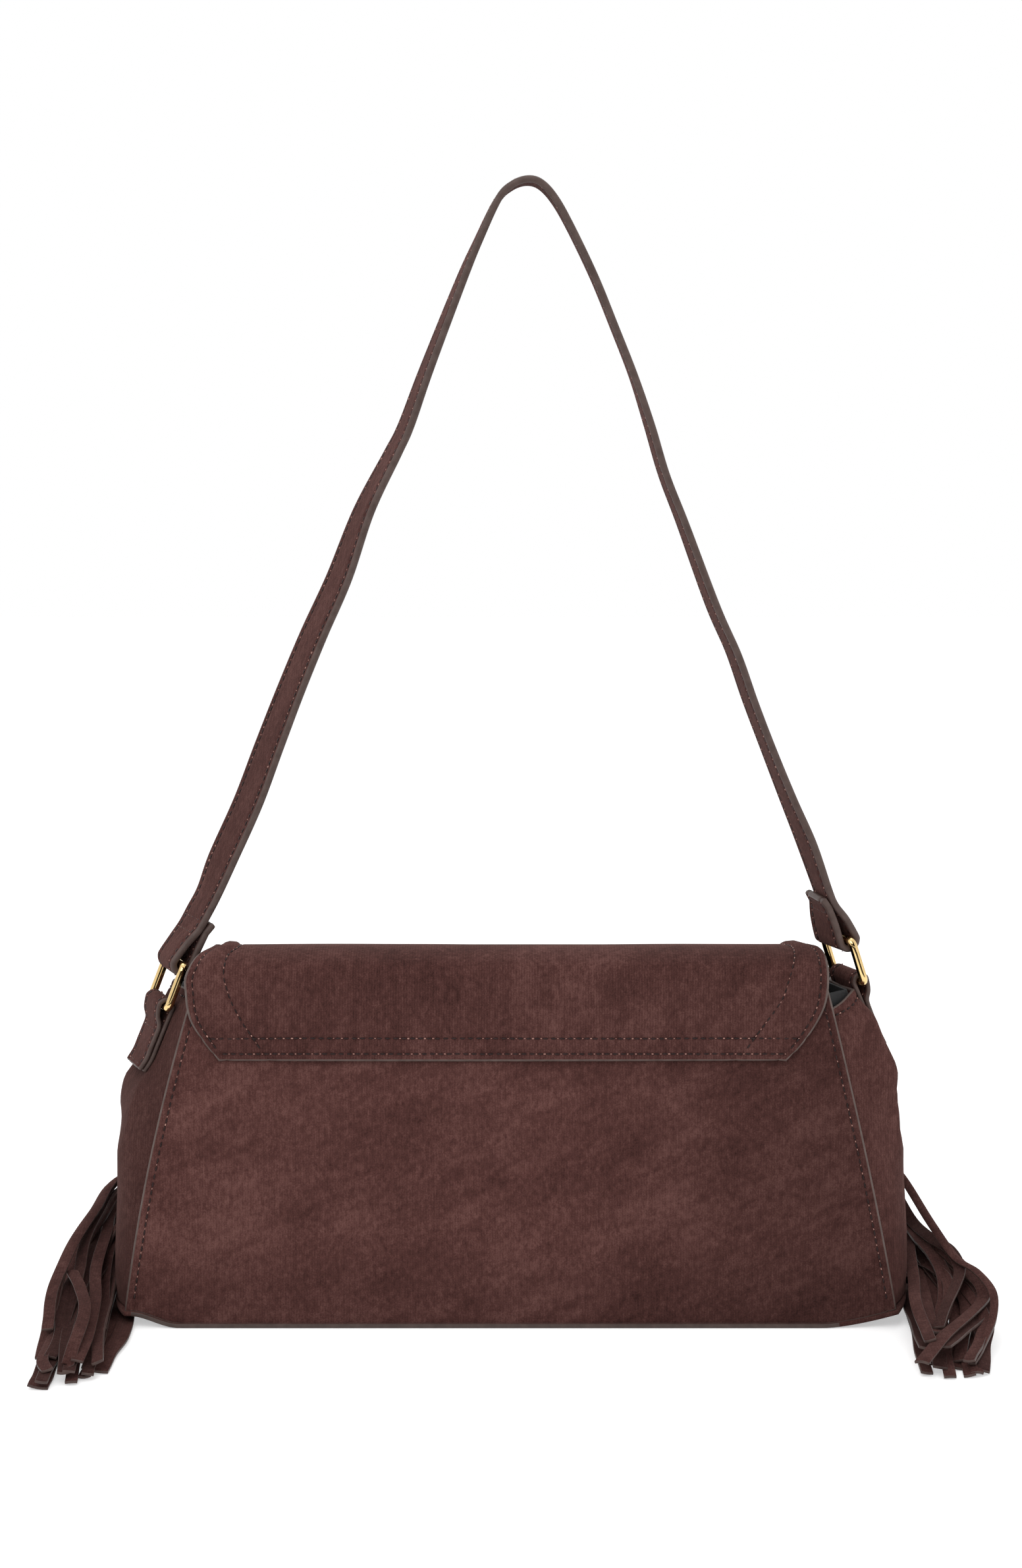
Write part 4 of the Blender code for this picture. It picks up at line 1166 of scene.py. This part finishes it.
# Strips: width as a share, then the route after the head in tenths of a millimetre,
# as distance from the bag's middle, y and z
LEFT_STRIPS = (
    (1.00, (1731, 420, 436), (1792, 153, 366), (1847, -125, 296), (1875, -363, 231), (1879, -548, 178),
     (1864, -747, 120)),
    (1.00, (1732, 420, 389), (1778, 213, 338), (1814, -24, 276), (1806, -258, 204), (1803, -500, 135),
     (1812, -685, 90)),
    (1.00, (1733, 420, 312), (1747, 164, 264), (1749, -165, 205), (1708, -463, 152), (1698, -761, 108),
     (1706, -1031, 80)),
    (1.00, (1718, 201, 260), (1756, -40, 140), (1755, -660, 60), (1747, -1021, 50), (1730, -948, 110),
     (1724, -660, 170), (1773, -437, 200), (1829, -266, 220)),
    (1.00, (1734, 420, 259), (1765, 81, 206), (1789, -285, 155), (1798, -577, 117), (1783, -821, 83),
     (1753, -1087, 50)),
    (1.70, (1735, 420, 199), (1784, 6, 141), (1826, -345, 102), (1840, -700, 59), (1843, -984, 27),
     (1845, -1149, 12)),
    (1.00, (1734, 420, 229), (1800, -80, 166), (1832, -486, 117), (1845, -812, 80), (1853, -985, 65),
     (1815, -1085, 60)),
    (1.00, (1735, 420, 170), (1782, -101, 115), (1809, -540, 78), (1822, -898, 54), (1828, -1170, 40)),
    (1.50, (1683, 104, 40), (1625, -169, 15), (1606, -516, 15), (1625, -743, 15), (1632, -953, 12)),
    (1.00, (1730, 420, 170), (1693, -100, 115), (1678, -557, 83), (1632, -985, 60)),
    (1.00, (1730, 420, 110), (1721, -56, 73), (1713, -537, 49), (1664, -1041, 30)),
    (1.00, (1730, 420, 140), (1743, -99, 86), (1746, -613, 45), (1722, -1094, 15)),
    (1.00, (1725, 420, 80), (1704, 27, 48), (1692, -374, 27), (1681, -779, 16), (1679, -1028, 15)),
    (1.00, (1733, 420, 282), (1784, 14, 211), (1834, -273, 180), (1839, -510, 138), (1813, -734, 97),
     (1824, -949, 70)),
    (1.30, (1728, 420, 282), (1731, 166, 211), (1724, -94, 142), (1700, -325, 82), (1690, -507, 40)),
    (1.30, (1732, 420, 354), (1803, 204, 277), (1854, -15, 191), (1868, -200, 110), (1865, -384, 30)),
    (1.20, (1733, 420, 294), (1773, 146, 246), (1793, -128, 194), (1787, -384, 142), (1777, -611, 100)),
    (1.00, (1731, 420, 407), (1791, 206, 352), (1853, -46, 288), (1878, -267, 220), (1879, -494, 147),
     (1879, -684, 90), (1876, -855, 40)),
    (1.60, (1734, 258, 15), (1671, -150, 15), (1653, -462, 15), (1666, -716, 12), (1668, -920, 12)),
    (1.00, (1729, 420, 229), (1734, 52, 171), (1773, -325, 139), (1765, -621, 103), (1741, -876, 74),
     (1732, -1086, 55)),
)
RIGHT_STRIPS = (
    (0.65, (1722, 420, 433), (1798, 107, 324), (1867, -149, 249), (1935, -310, 233), (1976, -476, 189),
     (1951, -647, 125), (1880, -823, 71), (1826, -940, 40)),
    (1.00, (1733, 420, 288), (1794, 155, 252), (1854, -41, 250), (1873, -211, 218), (1836, -373, 181),
     (1780, -546, 149), (1722, -720, 120)),
    (1.40, (1734, 420, 274), (1762, 211, 228), (1802, 21, 200), (1824, -169, 163), (1802, -352, 119),
     (1744, -546, 80)),
    (1.20, (1734, 420, 259), (1834, 111, 227), (1907, -145, 199), (1950, -308, 182), (1943, -427, 150),
     (1861, -586, 131), (1736, -811, 118), (1609, -1078, 90)),
    (1.00, (1741, 420, 199), (1845, 82, 177), (1929, -212, 162), (1967, -414, 137), (1914, -557, 111),
     (1811, -747, 104), (1725, -908, 100)),
    (1.20, (1730, 420, 140), (1735, 145, 130), (1737, -82, 124), (1720, -336, 114), (1702, -590, 107),
     (1705, -750, 110)),
    (1.00, (1723, 420, 223), (1720, 167, 197), (1696, -129, 166), (1673, -395, 143), (1662, -668, 126),
     (1667, -894, 120)),
    (1.00, (1720, 420, 21), (1691, 71, 29), (1670, -240, 43), (1657, -551, 62), (1646, -894, 90)),
    (1.00, (1716, 420, 12), (1692, 93, 12), (1682, -157, 12), (1674, -435, 12), (1652, -721, 12),
     (1644, -979, 15)),
    (1.00, (1724, 420, 155), (1753, 175, 145), (1793, -11, 163), (1819, -183, 168), (1816, -348, 154),
     (1782, -515, 140)),
    (1.20, (1736, 420, 110), (1752, 6, 83), (1732, -456, 52), (1699, -959, 30)),
    (1.00, (1735, 420, 170), (1767, -84, 110), (1767, -494, 64), (1730, -1019, 12)),
    (1.00, (1741, 420, 170), (1872, -130, 152), (1927, -506, 123), (1881, -742, 86), (1811, -968, 60)),
    (1.00, (1741, 420, 199), (1864, 16, 181), (1941, -319, 151), (1941, -594, 95), (1903, -779, 57),
     (1869, -969, 20)),
    (1.00, (1736, 420, 140), (1800, -53, 101), (1835, -494, 64), (1810, -1003, 12)),
    (1.00, (1742, 420, 110), (1822, -97, 85), (1865, -567, 59), (1840, -994, 20)),
    (1.30, (1735, 420, 199), (1790, 90, 146), (1834, -205, 103), (1856, -478, 59), (1863, -768, 12)),
    (1.30, (1736, 420, 110), (1750, 37, 74), (1742, -327, 41), (1716, -682, 12)),
    (1.50, (1735, 420, 170), (1818, 8, 141), (1848, -301, 103), (1812, -616, 52), (1759, -903, 12)),
    (1.40, (1736, 420, 140), (1763, 10, 97), (1775, -317, 66), (1751, -653, 31), (1706, -870, 12)),
    (1.20, (1735, 420, 199), (1815, 68, 167), (1874, -233, 140), (1878, -470, 98), (1821, -726, 53),
     (1784, -875, 30)),
    (1.20, (1740, 420, 244), (1823, 128, 193), (1893, -176, 137), (1907, -428, 72), (1886, -647, 12)),
)


def tassel_frame(hand):
    side = SIDES[hand]
    top = Vector((side * HEAD_TOP[0], HEAD_TOP[1], HEAD_TOP[2]))
    axis = Vector((side * HEAD_AXIS[0], HEAD_AXIS[1], HEAD_AXIS[2])).normalized()
    across = axis.cross(Vector((0, 1, 0))).normalized()
    return side, top, axis, across, axis.cross(across)


def join_into(target, source):
    """Moves one bmesh into another."""
    mesh = bpy.data.meshes.new("part")
    source.to_mesh(mesh)
    source.free()
    target.from_mesh(mesh)
    bpy.data.meshes.remove(mesh)


def rolled_head(top, axis, across, other):
    """The strip's uncut band rolled up: a spiral seen at the head's top."""
    rows = []
    for along in spread(0.0, HEAD_LENGTH, 8):
        line = []
        for t in spread(0.0, 1.0, 110):
            angle = 2 * math.pi * 3.2 * t
            spoke = across * math.cos(angle) + other * math.sin(angle)
            line.append(top + axis * along + spoke * (ROLL + (HEAD_RADIUS - ROLL - ROLL_EASE) * t))
        rows.append(line)
    return sheet_mesh(rows, ROLL, bead=0.5)


def build_tassel(hand, strips):
    side, top, axis, across, other = tassel_frame(hand)
    bm = rolled_head(top, axis, across, other)
    for number, (share, *points) in enumerate(strips):
        angle = 2 * math.pi * number / len(strips)
        offset = (across * math.cos(angle) + other * math.sin(angle)) * (HEAD_RADIUS * 0.7)
        route = [top + axis * (HEAD_LENGTH * 0.6) + offset]
        route.append(top + axis * (HEAD_LENGTH + HEAD_EXIT) + offset * 1.1)
        route += [Vector((side * x, y, z)) * TENTH for x, y, z in points]
        read = vector_curve(route)
        rows = []
        for t in spread(0.0, 1.0, 60):
            along = (read(min(1.0, t + 0.01)) - read(max(0.0, t - 0.01))).normalized()
            flat = along.cross(UP).normalized()
            stand = along.cross(flat)
            turn = 40.0 * (1.0 - t) ** 2 + 16.0 * math.sin(number * 2.3)
            roll = math.radians(turn + 14.0 * wave(t, number, 0.0, 0.35, 4.0))
            aim = flat * math.cos(roll) + stand * math.sin(roll)
            sway = STRIP_SWAY * wave(t, number, 5.0, 0.22) * smooth(0.1, 0.4, t) * smooth(0.0, 0.1, 1.0 - t)
            here = read(t) + flat * sway
            curl = aim.cross(along) * (STRIP_CURL * wave(number, t, 1.0, 0.6))
            line = []
            for s in spread(-0.5, 0.5, 4):
                p = here + aim * (STRIP_WIDTH * share * s) + curl * (4 * s * s - 0.5)
                p.z = max(p.z, STRIP / 2 + FLOOR_GAP)
                line.append(p)
            rows.append(line)
        cut = sheet_mesh(rows, STRIP, bead=0.3)
        # Painted shade: every third strip takes the darker copy, for the shade between the strips.
        if number % 3 == 1:
            for face in cut.faces:
                if face.material_index == 0:
                    face.material_index = 2
        join_into(bm, cut)
    finish_mesh(f"tassel_{hand}_suede", bm, (STRIP_SUEDE, CUT_EDGE, SHADED_STRIP_SUEDE), "bag", f"tassel_{hand}")


def build_band(hand):
    _, top, axis, across, other = tassel_frame(hand)
    rows = []
    for t in spread(0.0, 1.0, 60):
        a = 2 * math.pi * 1.03 * t
        r = HEAD_RADIUS + GAP + BAND_GAP + BAND * smooth(0.93, 1.0, t)
        spoke = across * math.cos(a) + other * math.sin(a)
        rows.append([top + axis * (BAND_START + BAND_WIDTH * s) + spoke * r for s in spread(0.0, 1.0, 6)])
    node = f"tassel_band_{hand}"
    finish_mesh(node + "_suede", sheet_mesh(rows, BAND), (STRAP_SUEDE, STRIP_PAINT), "bag", node)


def build_hanger(hand):
    side, top, axis, _, _ = tassel_frame(hand)
    lie = GAP + HANGER / 2
    x = side * HEAD_TOP[0]
    end = top - axis * lie
    heights = [end.z + (HANGER_TOP - end.z) * share for share in (1.0, 0.74, 0.48, 0.28)]
    points = [Vector((x, half_depth(z) + lie, z)) for z in heights]
    points[-1].y += HANGER
    points += [Vector((x, end.y + y, end.z + z)) for y, z in HANGER_TURN]
    level = Vector((axis.z, 0.0, -axis.x)).normalized() * -side
    straight = Vector((side, 0.0, 0.0))

    def across(t):
        share = smooth(0.45, 0.95, t)
        return (straight * (1.0 - share) + level * share).normalized()

    node = f"tassel_hanger_{hand}"
    strip_piece(node + "_suede", node, "bag", vector_curve(points), across, HANGER_WIDTH, HANGER, 60)


for each in ("left", "right"):
    build_band(each)
    build_hanger(each)
build_tassel("left", LEFT_STRIPS)
build_tassel("right", RIGHT_STRIPS)


# Snap and base board

SNAP_FACING = Vector((0.0, 0.998, 0.06)).normalized()
SNAP_SIDES = 40
# Radius and height of each half's outline
SNAP_PROFILE = (
    (0.0, 0.0004), (0.0022, 0.0004), (0.0027, 0.0007), (0.0060, 0.0007), (0.0068, 0.0005),
    (0.0085, 0.00045), (0.0090, 0.0001), (0.0090, -0.0006), (0.0084, -0.00075), (0.0, -0.00075),
)


def build_snap(name, node, outward):
    low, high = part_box(node)
    first = Vector((1.0, 0.0, 0.0))
    second = SNAP_FACING.cross(first).normalized()
    bm = bmesh.new()
    loops = []
    for radius, height in SNAP_PROFILE:
        centre = (low + high) / 2 + SNAP_FACING * (height * outward)
        loops.append(ring_of(bm, centre, first, second, radius, SNAP_SIDES))
    for near, far in zip(loops, loops[1:]):
        bridge(bm, near, far)
    finish_mesh(name, bm, (SNAP_GOLD,), "bag", node)


build_snap("snap_socket_metal", "snap_socket", 1.0)
build_snap("snap_stud_metal", "snap_stud", -1.0)
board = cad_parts["base_board"]
board.data.materials.clear()
board.data.materials.append(BOARD)


# Stage, lights and camera

FLOOR_GLOW = 0.47
WORLD_GLOW = 0.62
SENSOR = 36.0
FOCAL_SHARE = 4708.0 / 2380.0
CAMERA_PLACE = (0.0, -1.2835, 0.3870)
CAMERA_DOWN = 7.26


def seen_rays(tree):
    """1 for the rays that see the backdrop: camera, reflection and transmission."""
    rays = tree.nodes.new("ShaderNodeLightPath").outputs
    total = rays["Is Camera Ray"]
    for name in ("Is Glossy Ray", "Is Transmission Ray"):
        total = add_node(tree, "Math", {0: total, 1: rays[name]}, operation="MAXIMUM").outputs[0]
    return total


def placed(name, data, place, turn):
    made = bpy.data.objects.new(name, data)
    made.location = place
    made.rotation_euler = turn
    bpy.context.collection.objects.link(made)
    return made


def stage_plane(name, look, size, place=(0.0, 0.0, 0.0), turn=0.0):
    bm = bmesh.new()
    bmesh.ops.create_grid(bm, x_segments=2, y_segments=2, size=size)
    mesh = bpy.data.meshes.new(name)
    bm.to_mesh(mesh)
    bm.free()
    mesh.materials.append(look)
    made = placed(name, mesh, place, (turn, 0.0, 0.0))
    return made


def build_stage():
    """White floor that keeps the shadow, and dark cards before the bag for the metal's dark middle."""
    white, tree, shader = nodes_of("floor_white")
    glow = add_node(tree, "Math", {0: seen_rays(tree), 1: FLOOR_GLOW}, operation="MULTIPLY")
    connect(tree, shader, {
        "Base Color": (0.86, 0.86, 0.86, 1.0), "Roughness": 0.9, "Specular IOR Level": 0.0,
        "Emission Color": (1.0, 1.0, 1.0, 1.0), "Emission Strength": glow.outputs[0]})
    stage_plane("floor", white, 4.0)
    dark, tree, shader = nodes_of("card_black")
    connect(tree, shader, {"Base Color": (0.02, 0.016, 0.014, 1.0), "Roughness": 1.0})
    cards = [stage_plane("dark_card", dark, 2.0, (0.0, -2.2, 2.25), math.radians(90.0))]
    cards.append(stage_plane("low_card", dark, 0.95, (0.0, -1.30, 0.006)))
    for card in cards:
        card.visible_camera = False
        card.visible_diffuse = False
        card.visible_shadow = False


def build_world():
    world = bpy.data.worlds.new("studio")
    world.use_nodes = True
    tree = world.node_tree
    strength = ramp(tree, seen_rays(tree), 0.0, 1.0, WORLD_GLOW, 1.0)
    connect(tree, tree.nodes["Background"], {"Color": (1.0, 1.0, 1.0, 1.0), "Strength": strength})
    bpy.context.scene.world = world


def area_light(name, place, aim, size, power):
    data = bpy.data.lights.new(name, "AREA")
    data.shape = "RECTANGLE"
    data.size, data.size_y = size
    data.energy = power
    return placed(name, data, place, (Vector(aim) - Vector(place)).to_track_quat("-Z", "Y").to_euler())


def build_camera():
    data = bpy.data.cameras.new("camera")
    data.lens = SENSOR * FOCAL_SHARE
    data.sensor_width = SENSOR
    turn = (math.radians(90.0 - CAMERA_DOWN), 0.0, 0.0)
    bpy.context.scene.camera = placed("camera", data, CAMERA_PLACE, turn)


build_stage()
build_world()
area_light("key", (-0.7, -1.5, 1.5), (0.0, 0.0, 0.12), (1.6, 1.2), 16.0)
area_light("fill", (1.2, -1.0, 0.8), (0.0, 0.0, 0.12), (1.4, 1.4), 5.0).visible_glossy = False
area_light("top", (0.0, 0.5, 1.8), (0.0, 0.0, 0.1), (1.6, 1.2), 8.0)
build_camera()
view = bpy.context.scene.view_settings
view.view_transform = "Standard"
